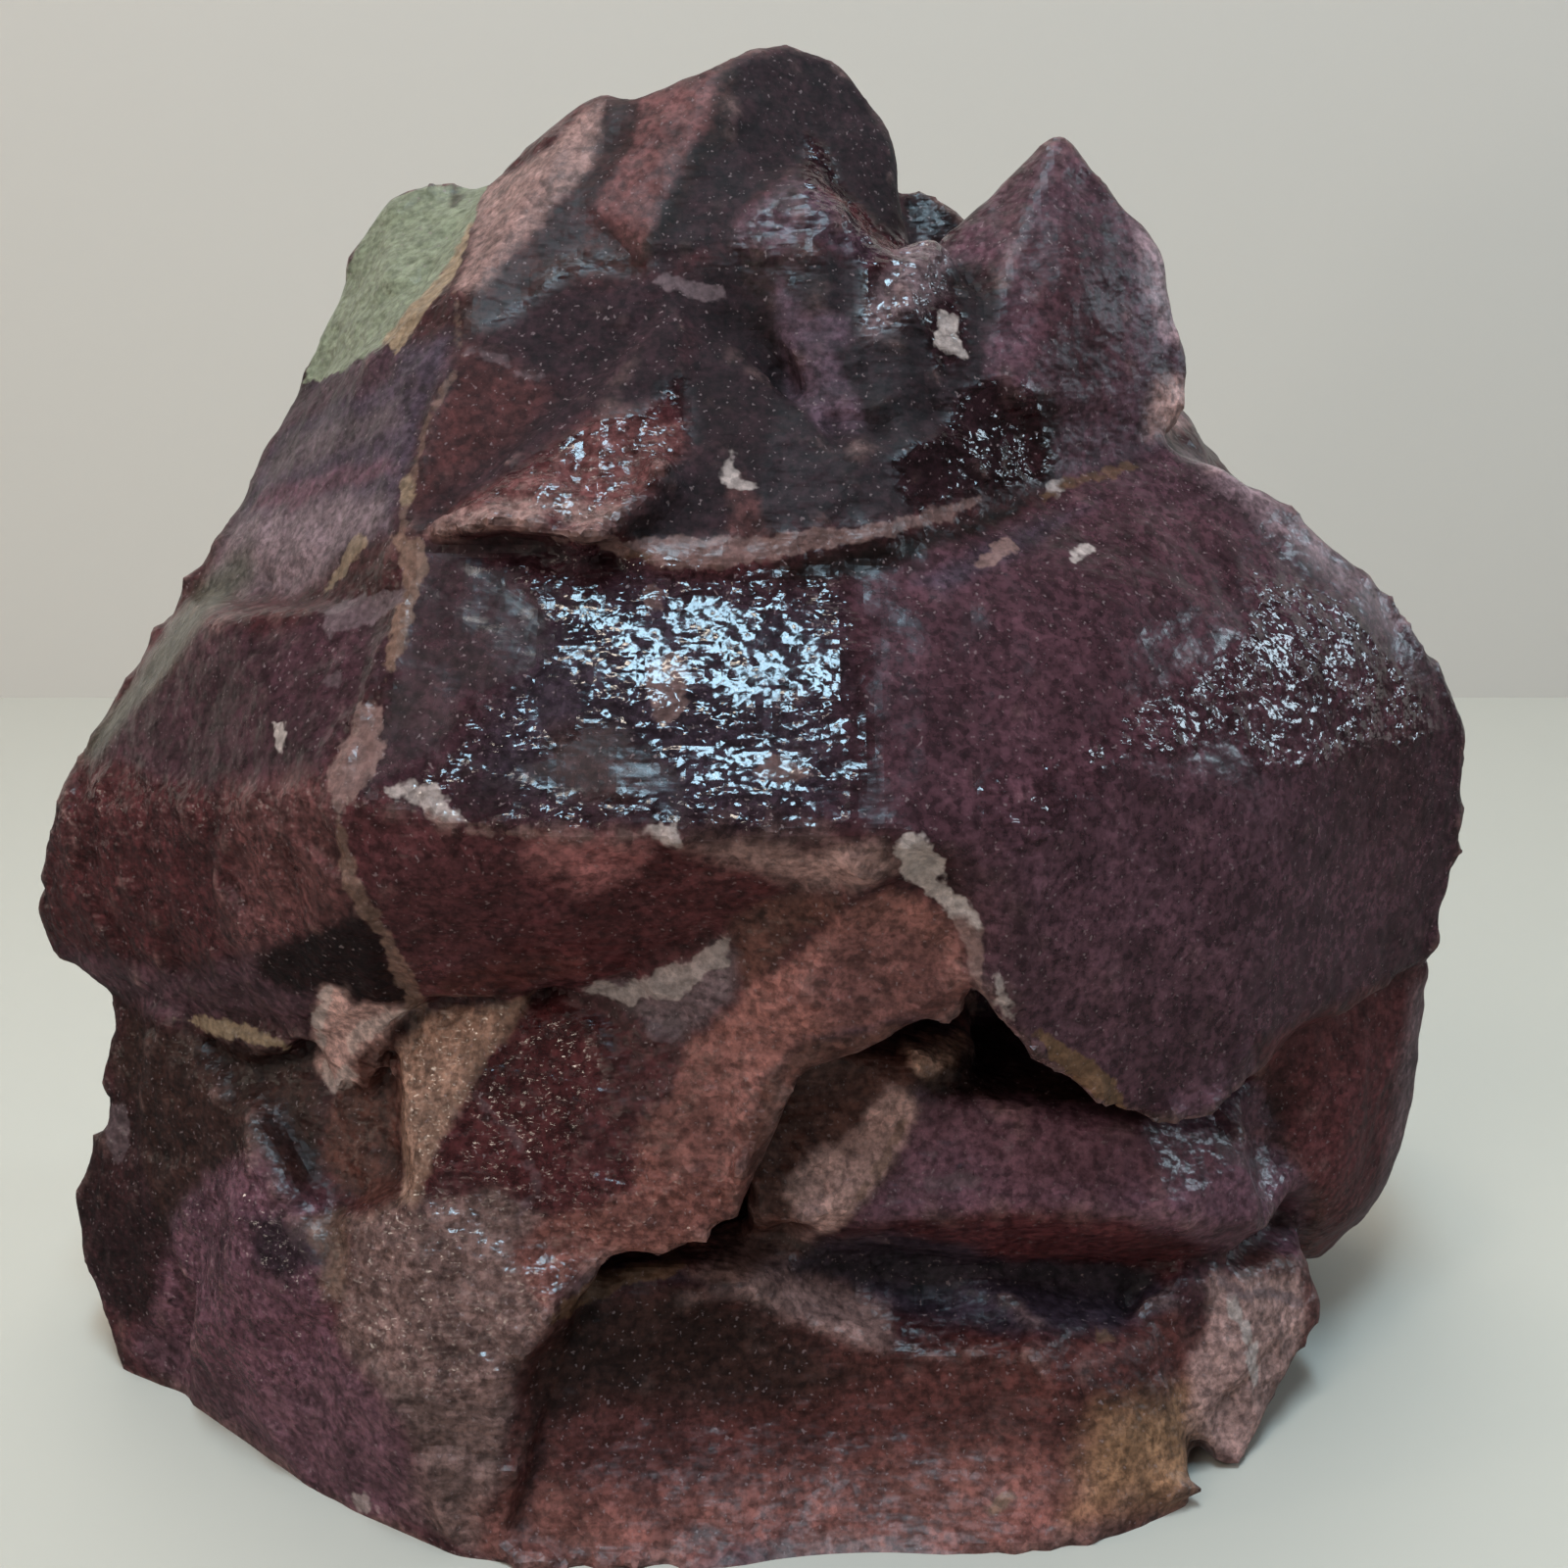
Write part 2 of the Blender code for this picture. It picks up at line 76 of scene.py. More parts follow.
# Zones of colour: shade, brightness, softness of the border in mm, share, outline in mm
# Each zone's brightness takes in how the light falls on it, so some zones paint light and shade: those under
# overhangs are darkened as painted shadow, the grey-lilac rims and shoulder and the slab's haze are painted
# sheen, and the belly, recess, tan_block and round flank are lifted as painted light.
ZONES = [
    ("left_flank_top", "slate_violet", 1.14, 1.5, 0.8, [(-50, 115), (-39, 115), (-30, 116), (-30, 109),
     (-32, 104), (-34, 99), (-35, 94), (-41, 93), (-56, 96), (-59, 99), (-55, 107)]),
    ("streak_dark", "dark_plum", 1.46, 0.8, 0.8, [(-51, 114), (-46, 114), (-39, 115), (-36, 114),
     (-37, 111), (-44, 111), (-48, 110), (-53, 109)]),
    ("streak_pale", "grey_lilac", 0.65, 1.0, 0.7, [(-52, 108), (-43, 108), (-36, 109), (-35, 106),
     (-40, 105), (-47, 104), (-53, 103), (-55, 104)]),
    ("streak_dark_low", "plum", 2.37, 0.8, 0.8, [(-54, 102), (-45, 102), (-37, 103), (-35, 101),
     (-42, 100), (-50, 99), (-56, 100)]),
    ("streak_lilac", "grey_lilac", 1.26, 1.5, 0.8, [(-58, 99), (-49, 99), (-42, 99), (-36, 98),
     (-36, 95), (-42, 93), (-44, 90), (-49, 89), (-56, 90), (-61, 92), (-60, 97)]),
    ("block_dark", "dark_plum", 1.46, 1.5, 0.9, [(-41, 88), (-46, 85), (-52, 85), (-59, 86), (-63, 81),
     (-70, 77), (-75, 72), (-69, 70), (-58, 68), (-49, 68), (-40, 69), (-40, 72), (-37, 77), (-34, 79),
     (-34, 83), (-36, 86)]),
    ("green_grey_rim", "sage", 0.31, 1.5, 0.7, [(-56, 95), (-63, 92), (-66, 86), (-69, 81), (-75, 76),
     (-78, 71), (-74, 72), (-70, 76), (-64, 80), (-60, 85), (-57, 89), (-54, 92)]),
    ("block_rough", "dark_wine", 1.80, 1.5, 0.9, [(-77, 71), (-69, 70), (-58, 68), (-53, 65),
     (-53, 60), (-56, 51), (-54, 50), (-63, 48), (-73, 49), (-84, 49), (-84, 57), (-82, 61),
     (-78, 67)]),
    ("block_pink", "rose", 0.91, 2.5, 0.7, [(-54, 68), (-40, 69), (-39, 65), (-38, 61), (-38, 56),
     (-41, 54), (-47, 52), (-51, 50), (-54, 50), (-56, 51), (-53, 60)]),
    # Painted shadow: the underside of the left block is darkened.
    ("block_under_painted_shadow", "dark_wine", 0.34, 0.6, 0.95, [(-51, 50), (-47, 52), (-41, 54), (-38, 56),
     (-36, 54), (-35, 50), (-34, 45), (-38, 45), (-44, 46), (-47, 46), (-52, 48)]),
    ("block_foot", "plum", 1.72, 1.2, 0.8, [(-85, 49), (-74, 48), (-64, 47), (-51, 50), (-52, 48),
     (-47, 46), (-44, 46), (-45, 44), (-48, 43), (-62, 42), (-70, 42), (-76, 44), (-82, 46)]),
    ("top_red", "red_brown", 0.37, 1.2, 0.85, [(-30, 119), (-27, 121), (-24, 125), (-22, 127),
     (-19, 125), (-16, 130), (-13, 127), (-10, 124), (-9, 122), (-16, 121), (-20, 120), (-24, 117),
     (-26, 115), (-29, 114)]),
    ("pink_left", "dusty_pink", 1.05, 0.7, 0.9, [(-29, 136), (-24, 136), (-21, 138), (-18, 142),
     (-15, 144), (-15, 139), (-16, 135), (-20, 130), (-22, 127), (-24, 125), (-27, 121), (-29, 120),
     (-30, 121), (-29, 127), (-29, 132)]),
    ("pink_mid", "rose", 0.74, 0.6, 0.9, [(-11, 144), (-8, 144), (-4, 144), (-2, 146), (-1, 143),
     (-4, 138), (-6, 134), (-8, 129), (-10, 124), (-13, 127), (-15, 130), (-15, 131), (-12, 137)]),
    ("strip", "dark_wine", 0.57, 0.6, 0.9, [(-15, 144), (-13, 145), (-11, 144), (-11, 140), (-12, 137),
     (-15, 131), (-16, 130), (-18, 125), (-20, 125), (-22, 127), (-20, 130), (-16, 135), (-15, 139)]),
    ("peak", "dark_plum", 0.52, 0.7, 0.9, [(-1, 146), (2, 148), (5, 150), (8, 151), (12, 149),
     (16, 144), (18, 138), (19, 129), (16, 128), (13, 132), (8, 132), (5, 133), (2, 131), (0, 127),
     (-0, 125), (-5, 124), (-8, 121), (-10, 124), (-8, 129), (-6, 134), (-4, 138), (-1, 143)]),
    ("peak_shadow", "umber", 0.40, 0.8, 0.8, [(-2, 146), (-0, 145), (-1, 141), (-2, 136), (-5, 132),
     (-6, 128), (-8, 125), (-10, 124), (-8, 129), (-6, 134), (-4, 138)]),
    ("dark_right_of_seam", "dark_plum", 0.68, 1.2, 0.95, [(-29, 114), (-26, 115), (-24, 117),
     (-20, 120), (-9, 122), (-5, 119), (-5, 115), (-6, 109), (-10, 107), (-15, 106), (-19, 103),
     (-24, 99), (-29, 97), (-31, 95), (-33, 94), (-33, 106), (-30, 112)]),
    ("seam_side", "red_brown", 1.36, 2.0, 0.5, [(-29, 114), (-23, 112), (-19, 109), (-21, 105),
     (-27, 100), (-32, 96), (-33, 100), (-31, 107)]),
    ("middle_dark", "dark_plum", 0.53, 2.0, 0.95, [(-8, 121), (-0, 125), (4, 124), (10, 124),
     (15, 123), (22, 128), (27, 121), (27, 112), (34, 110), (35, 101), (24, 98), (15, 95), (5, 94),
     (-10, 93), (-5, 101), (-6, 109), (-5, 115)]),
    ("middle_wine", "wine", 0.45, 2.0, 0.5, [(27, 110), (36, 111), (44, 107), (40, 103), (35, 101),
     (30, 103)]),
    ("glint_ledge", "rose", 0.85, 0.8, 0.85, [(-31, 94), (-29, 93), (-26, 94), (-20, 94), (-18, 96),
     (-16, 94), (-14, 93), (-13, 94), (-10, 96), (-5, 102), (-6, 105), (-10, 106), (-15, 105),
     (-18, 101), (-24, 99), (-29, 96)]),
    ("ledge_edge", "dusty_pink", 1.07, 0.8, 0.85, [(-31, 94), (-29, 93), (-26, 94), (-20, 94),
     (-18, 96), (-16, 94), (-14, 93), (-13, 94), (-11, 96), (-14, 96), (-18, 97), (-22, 97),
     (-28, 96)]),
    ("dark_triangle", "dark_plum", 0.67, 0.5, 0.95, [(-11, 93), (-9, 95), (-5, 101), (-3, 100),
     (-1, 97), (-0, 94), (-5, 93)]),
    ("tee_wedge", "rose", 0.65, 0.6, 0.8, [(-1, 98), (1, 100), (3, 95), (3, 93), (2, 92), (-1, 91),
     (-4, 92), (-1, 93), (-0, 95)]),
    ("fin", "plum", 1.75, 0.7, 0.9, [(28, 134), (32, 138), (34, 140), (35, 140), (38, 137), (43, 132),
     (47, 128), (48, 123), (49, 118), (51, 115), (51, 113), (53, 112), (49, 108), (44, 104), (40, 103),
     (35, 101), (33, 102), (35, 108), (34, 111), (29, 110), (26, 112), (27, 116), (29, 121), (26, 122),
     (23, 123), (22, 125), (25, 129), (27, 132)]),
    ("fin_mid", "wine", 0.68, 3.0, 0.6, [(29, 131), (37, 128), (43, 119), (40, 109), (36, 111),
     (32, 115), (30, 122)]),
    # Painted sheen: the fin's right rim is lightened to grey lilac.
    ("fin_rim_painted_sheen", "grey_lilac", 2.74, 1.2, 0.7, [(43, 131), (48, 128), (49, 123), (49, 118), (47, 118),
     (45, 123), (45, 126)]),
    ("fin_tip", "dusty_pink", 2.14, 1.5, 0.8, [(48, 114), (51, 114), (51, 112), (52, 111), (49, 108),
     (45, 107), (46, 112)]),
    ("fin_root", "dark_wine", 0.32, 1.0, 0.8, [(23, 125), (28, 125), (29, 121), (27, 117), (24, 118),
     (22, 121)]),
    ("slab_left", "dark_plum", 1.05, 1.0, 0.9, [(-33, 93), (-15, 92), (-5, 89), (11, 90), (15, 64),
     (11, 64), (-6, 64), (-23, 64), (-30, 65), (-38, 66), (-34, 79)]),
    # Painted sheen: a grey-violet haze over the glassy slab, where the window light is reflected.
    ("slab_painted_sheen", "slate_violet", 0.55, 3.0, 0.8, [(-18, 86), (-7, 88), (10, 86), (10, 66), (-4, 65),
     (-17, 66), (-25, 68), (-25, 72)]),
    ("slab_smudge", "umber", 1.13, 1.5, 0.6, [(-18, 74), (-12, 74), (-6, 69), (-10, 66), (-16, 67),
     (-19, 70)]),
    ("slab_right", "dark_plum", 1.83, 1.0, 0.9, [(11, 90), (26, 95), (48, 107), (60, 100), (72, 92),
     (81, 82), (85, 74), (85, 60), (85, 54), (85, 46), (74, 45), (62, 42), (55, 41), (47, 36),
     (43, 33), (34, 37), (28, 40), (24, 49), (24, 54), (21, 61), (15, 64)]),
    ("slab_right_blue", "plum", 2.12, 6.0, 0.6, [(24, 64), (57, 70), (81, 57), (73, 47), (47, 37),
     (33, 41), (25, 53)]),
    # Painted sheen: the slab's right shoulder is lightened to grey lilac, for the light that glances off it.
    ("slab_shoulder_painted_sheen", "grey_lilac", 2.01, 2.0, 0.6, [(49, 107), (56, 104), (60, 100), (66, 96),
     (72, 92), (78, 86), (75, 86), (69, 90), (63, 94), (56, 99), (51, 103)]),
    ("slab_shelf", "slate_violet", 0.88, 1.0, 0.7, [(18, 89), (26, 93), (32, 96), (39, 99), (36, 97),
     (31, 93), (25, 90), (21, 88)]),
    # Painted shadow: the crevice under the lip is darkened to a fifth of umber.
    ("under_lip_painted_shadow", "umber", 0.20, 1.0, 0.9, [(3, 90), (9, 92), (15, 93), (23, 95), (26, 97), (32, 100),
     (27, 95), (21, 93), (17, 91), (13, 89), (5, 89)]),
    ("band", "wine", 1.31, 0.7, 0.9, [(-38, 66), (-35, 68), (-29, 65), (-23, 64), (-17, 64), (-12, 64),
     (-6, 63), (-10, 59), (-14, 57), (-21, 54), (-25, 51), (-30, 48), (-33, 45), (-35, 53), (-36, 56),
     (-38, 62)]),
    ("band_pink", "rose", 2.33, 2.0, 0.6, [(-19, 63), (-12, 64), (-6, 63), (-10, 59), (-15, 58),
     (-20, 61)]),
    ("band_dark", "dark_wine", 2.21, 0.7, 0.95, [(-6, 63), (-2, 62), (3, 60), (4, 58), (2, 55),
     (-1, 53), (-5, 49), (-9, 49), (-13, 48), (-16, 49), (-21, 48), (-28, 46), (-33, 45), (-30, 48),
     (-25, 51), (-21, 54), (-14, 57), (-10, 59)]),
    ("band_low", "red_brown", 1.23, 1.0, 0.6, [(-31, 48), (-23, 51), (-16, 51), (-15, 49), (-21, 48),
     (-28, 46)]),
    ("band_top", "dusty_pink", 1.45, 1.2, 0.8, [(-5, 62), (1, 63), (8, 62), (14, 63), (16, 61),
     (13, 59), (11, 58), (7, 58), (3, 60), (-2, 62)]),
    ("dish", "pink_brown", 1.96, 0.7, 0.95, [(5, 50), (8, 53), (11, 56), (15, 58), (19, 57), (21, 55),
     (23, 50), (26, 41), (18, 45), (12, 44), (7, 43), (5, 41), (3, 38), (2, 35), (1, 33), (-6, 35),
     (-6, 38), (-5, 42), (-2, 44), (1, 48)]),
    ("dish_rose", "rose", 0.83, 2.0, 0.6, [(11, 54), (18, 54), (22, 50), (25, 42), (11, 44), (5, 47)]),
    ("dish_brown", "umber", 3.00, 0.8, 0.9, [(1, 56), (5, 58), (11, 57), (10, 55), (7, 54), (4, 50),
     (1, 48), (-0, 50), (-1, 54)]),
    ("pink_band", "pink_brown", 1.40, 1.2, 0.9, [(1, 33), (1, 30), (1, 22), (0, 19), (-2, 18),
     (-4, 17), (-5, 16), (-7, 17), (-12, 17), (-16, 18), (-19, 16), (-20, 13), (-24, 20), (-20, 23),
     (-11, 26), (-10, 33), (-6, 37)]),
    ("chip_field", "grey_lilac", 1.03, 0.8, 0.8, [(-16, 47), (-14, 48), (-10, 48), (-5, 50), (-2, 53),
     (-0, 52), (0, 48), (-3, 44), (-5, 43), (-7, 43), (-10, 44), (-11, 45), (-14, 46)]),
    ("dark_red_facet", "dark_wine", 1.88, 0.7, 0.9, [(-21, 46), (-18, 46), (-14, 45), (-11, 44),
     (-10, 42), (-5, 42), (-6, 38), (-8, 36), (-11, 33), (-11, 26), (-15, 24), (-20, 23), (-22, 25),
     (-26, 26), (-31, 28), (-33, 24), (-33, 29), (-30, 32), (-28, 35), (-26, 38), (-23, 43)]),
    ("tan_triangle", "tan", 1.67, 0.5, 0.9, [(-36, 41), (-34, 43), (-34, 44), (-26, 45), (-22, 46),
     (-24, 42), (-26, 39), (-29, 35), (-31, 32), (-32, 29), (-34, 24), (-36, 24), (-36, 27), (-37, 31),
     (-37, 35)]),
    ("tan_left", "umber", 2.34, 1.0, 0.9, [(-43, 38), (-36, 43), (-37, 31), (-36, 24), (-42, 23),
     (-46, 26), (-46, 31)]),
    ("spur", "dusty_pink", 2.04, 0.5, 0.9, [(-44, 47), (-41, 47), (-41, 45), (-37, 45), (-33, 45),
     (-36, 43), (-40, 40), (-42, 38), (-41, 36), (-45, 35), (-46, 36), (-47, 38), (-46, 42)]),
    ("shaded_left", "umber", 0.84, 1.5, 0.9, [(-73, 41), (-48, 39), (-46, 34), (-46, 26), (-48, 23),
     (-53, 28), (-62, 23), (-69, 15), (-71, 22), (-74, 31), (-77, 35)]),
    ("knuckle", "dark_wine", 0.50, 1.5, 0.8, [(-78, 31), (-72, 31), (-71, 22), (-68, 13), (-71, 4),
     (-76, 4), (-82, 10), (-83, 16), (-81, 25)]),
    ("glitter_ridge", "plum", 2.51, 1.5, 0.8, [(-62, 23), (-53, 28), (-48, 23), (-45, 22), (-44, 13),
     (-43, 8), (-36, 2), (-34, -6), (-38, -12), (-57, -9), (-68, -5), (-75, -0), (-71, 4), (-68, 13)]),
    ("ridge_pit", "slate_violet", 0.22, 1.0, 0.8, [(-54, 21), (-48, 21), (-45, 20), (-44, 18),
     (-46, 16), (-49, 14), (-53, 16)]),
    ("notch", "tan", 0.67, 0.6, 0.8, [(-48, 21), (-43, 22), (-36, 24), (-33, 25), (-42, 20), (-41, 17),
     (-42, 13), (-44, 13), (-45, 15), (-44, 18)]),
    ("tongue", "dusty_pink", 0.65, 1.0, 0.9, [(-42, 22), (-33, 24), (-26, 26), (-20, 23), (-24, 20),
     (-20, 13), (-23, 5), (-25, -3), (-27, -13), (-33, -11), (-37, -11), (-34, -2), (-36, 2), (-40, 6),
     (-43, 9), (-42, 13), (-41, 17)]),
    ("tongue_low", "plum", 2.94, 3.0, 0.7, [(-55, 5), (-43, 7), (-36, 2), (-34, -4), (-33, -11),
     (-38, -12), (-50, -9), (-60, -4)]),
    ("recess", "umber", 2.69, 0.6, 0.95, [(1, 33), (3, 38), (5, 41), (7, 43), (11, 43), (15, 44),
     (18, 44), (20, 39), (21, 37), (18, 35), (16, 36), (13, 32), (9, 29), (5, 26), (2, 22), (1, 30)]),
    ("recess_low", "umber", 3.00, 1.2, 0.9, [(1, 29), (5, 26), (7, 22), (9, 20), (5, 18), (-1, 18),
     (1, 20), (1, 22)]),
    ("spoon", "dusty_pink", 1.65, 0.6, 0.95, [(19, 35), (20, 34), (18, 30), (16, 27), (14, 24),
     (11, 20), (9, 19), (7, 22), (5, 24), (5, 26), (9, 29), (13, 32), (16, 36)]),
    ("tan_block", "tan", 3.00, 0.5, 0.9, [(18, 40), (21, 41), (25, 41), (26, 40), (24, 37), (21, 36),
     (19, 38)]),
    # Painted shadow: the underside of the slab is darkened.
    ("under_slab_painted_shadow", "umber", 0.50, 0.7, 0.95, [(19, 37), (28, 40), (34, 37), (43, 33), (49, 35),
     (55, 40), (62, 32), (49, 31), (33, 33), (22, 34)]),
    ("under_facet", "plum", 2.04, 0.8, 0.9, [(45, 36), (55, 41), (62, 32), (64, 27), (53, 30),
     (47, 31)]),
    ("belly", "plum", 3.00, 1.0, 0.9, [(20, 35), (27, 34), (37, 33), (49, 31), (62, 27), (67, 22),
     (69, 12), (53, 16), (42, 21), (32, 23), (21, 22), (16, 21), (12, 20), (14, 24), (17, 27),
     (18, 30)]),
    ("belly_low", "dark_wine", 3.00, 1.5, 0.85, [(12, 19), (21, 22), (32, 23), (42, 21), (52, 16),
     (48, 13), (33, 14), (22, 16)]),
    ("pocket", "slate_violet", 0.69, 1.0, 0.9, [(4, 15), (9, 18), (16, 20), (24, 18), (28, 16),
     (47, 13), (49, 10), (43, 8), (27, 8), (16, 10), (11, 13)]),
    ("pocket_left", "dusty_pink", 1.28, 1.5, 0.8, [(-5, 16), (-1, 18), (9, 19), (4, 15), (11, 12),
     (16, 10), (16, 6), (8, 9), (-0, 13)]),
    ("round_flank", "dark_wine", 2.70, 1.2, 0.9, [(56, 40), (62, 42), (74, 45), (86, 46), (87, 31),
     (86, 21), (81, 10), (73, 6), (69, 19), (64, 27), (62, 32)]),
    # Painted reflection: the round flank's rim is lightened to grey lilac, for the wall and floor seen in it
    # at a glancing angle.
    ("round_rim_painted_reflection", "grey_lilac", 1.19, 1.8, 0.75, [(82, 44), (86, 45), (87, 31), (86, 21), (82, 10),
     (74, 5), (76, 12), (80, 20), (81, 31)]),
    ("shard", "dusty_pink", 1.59, 0.8, 0.9, [(53, 13), (65, 11), (66, 6), (64, -0), (61, -4), (58, -9),
     (54, -7), (50, -5), (49, 1), (53, 8)]),
    ("skirt", "red_brown", 1.05, 1.2, 0.95, [(-20, 13), (-16, 13), (-8, 15), (-0, 13), (8, 9), (16, 6),
     (27, 8), (43, 8), (49, 10), (50, 3), (50, -6), (48, -10), (37, -11), (26, -14), (16, -14),
     (5, -12), (-5, -14), (-16, -15), (-27, -13), (-25, -3), (-23, 5)]),
    ("skirt_dark_top", "umber", 0.75, 2.0, 0.9, [(-20, 12), (-14, 13), (-6, 15), (3, 11), (10, 6),
     (16, 4), (5, 1), (-11, 2), (-22, 2), (-21, 8)]),
    ("skirt_low", "pink_brown", 1.96, 4.0, 0.7, [(-26, -8), (-16, -8), (-5, -7), (16, -6), (37, -3),
     (48, -7), (48, -10), (37, -11), (26, -14), (16, -14), (5, -12), (-5, -14), (-16, -15),
     (-27, -14)]),
    ("skirt_tan", "ochre", 2.20, 3.0, 0.7, [(39, 1), (49, 1), (51, -6), (51, -11), (42, -10),
     (36, -10), (37, -4)]),
    ("lilac_blade", "lilac", 1.01, 0.5, 0.85, [(4, 121), (4, 116), (5, 112), (5, 109), (7, 108),
     (9, 105), (13, 105), (13, 107), (12, 109), (10, 114), (12, 115), (12, 117), (8, 117), (5, 119)]),
    ("lilac_top", "lilac", 0.71, 0.7, 0.85, [(0, 126), (1, 129), (4, 132), (6, 133), (8, 132),
     (10, 131), (11, 129), (14, 127), (16, 125), (13, 123), (10, 124), (7, 125), (4, 124), (1, 125)]),
    ("lilac_chips", "grey_lilac", 1.30, 1.2, 0.7, [(15, 116), (13, 115), (14, 120), (16, 123),
     (20, 132), (23, 129), (23, 124), (21, 120), (19, 118), (17, 117)]),
    ("lump_behind", "dark_wine", 0.35, 0.8, 0.8, [(19, 140), (23, 139), (27, 136), (27, 130),
     (23, 129), (21, 133), (19, 129)]),
]

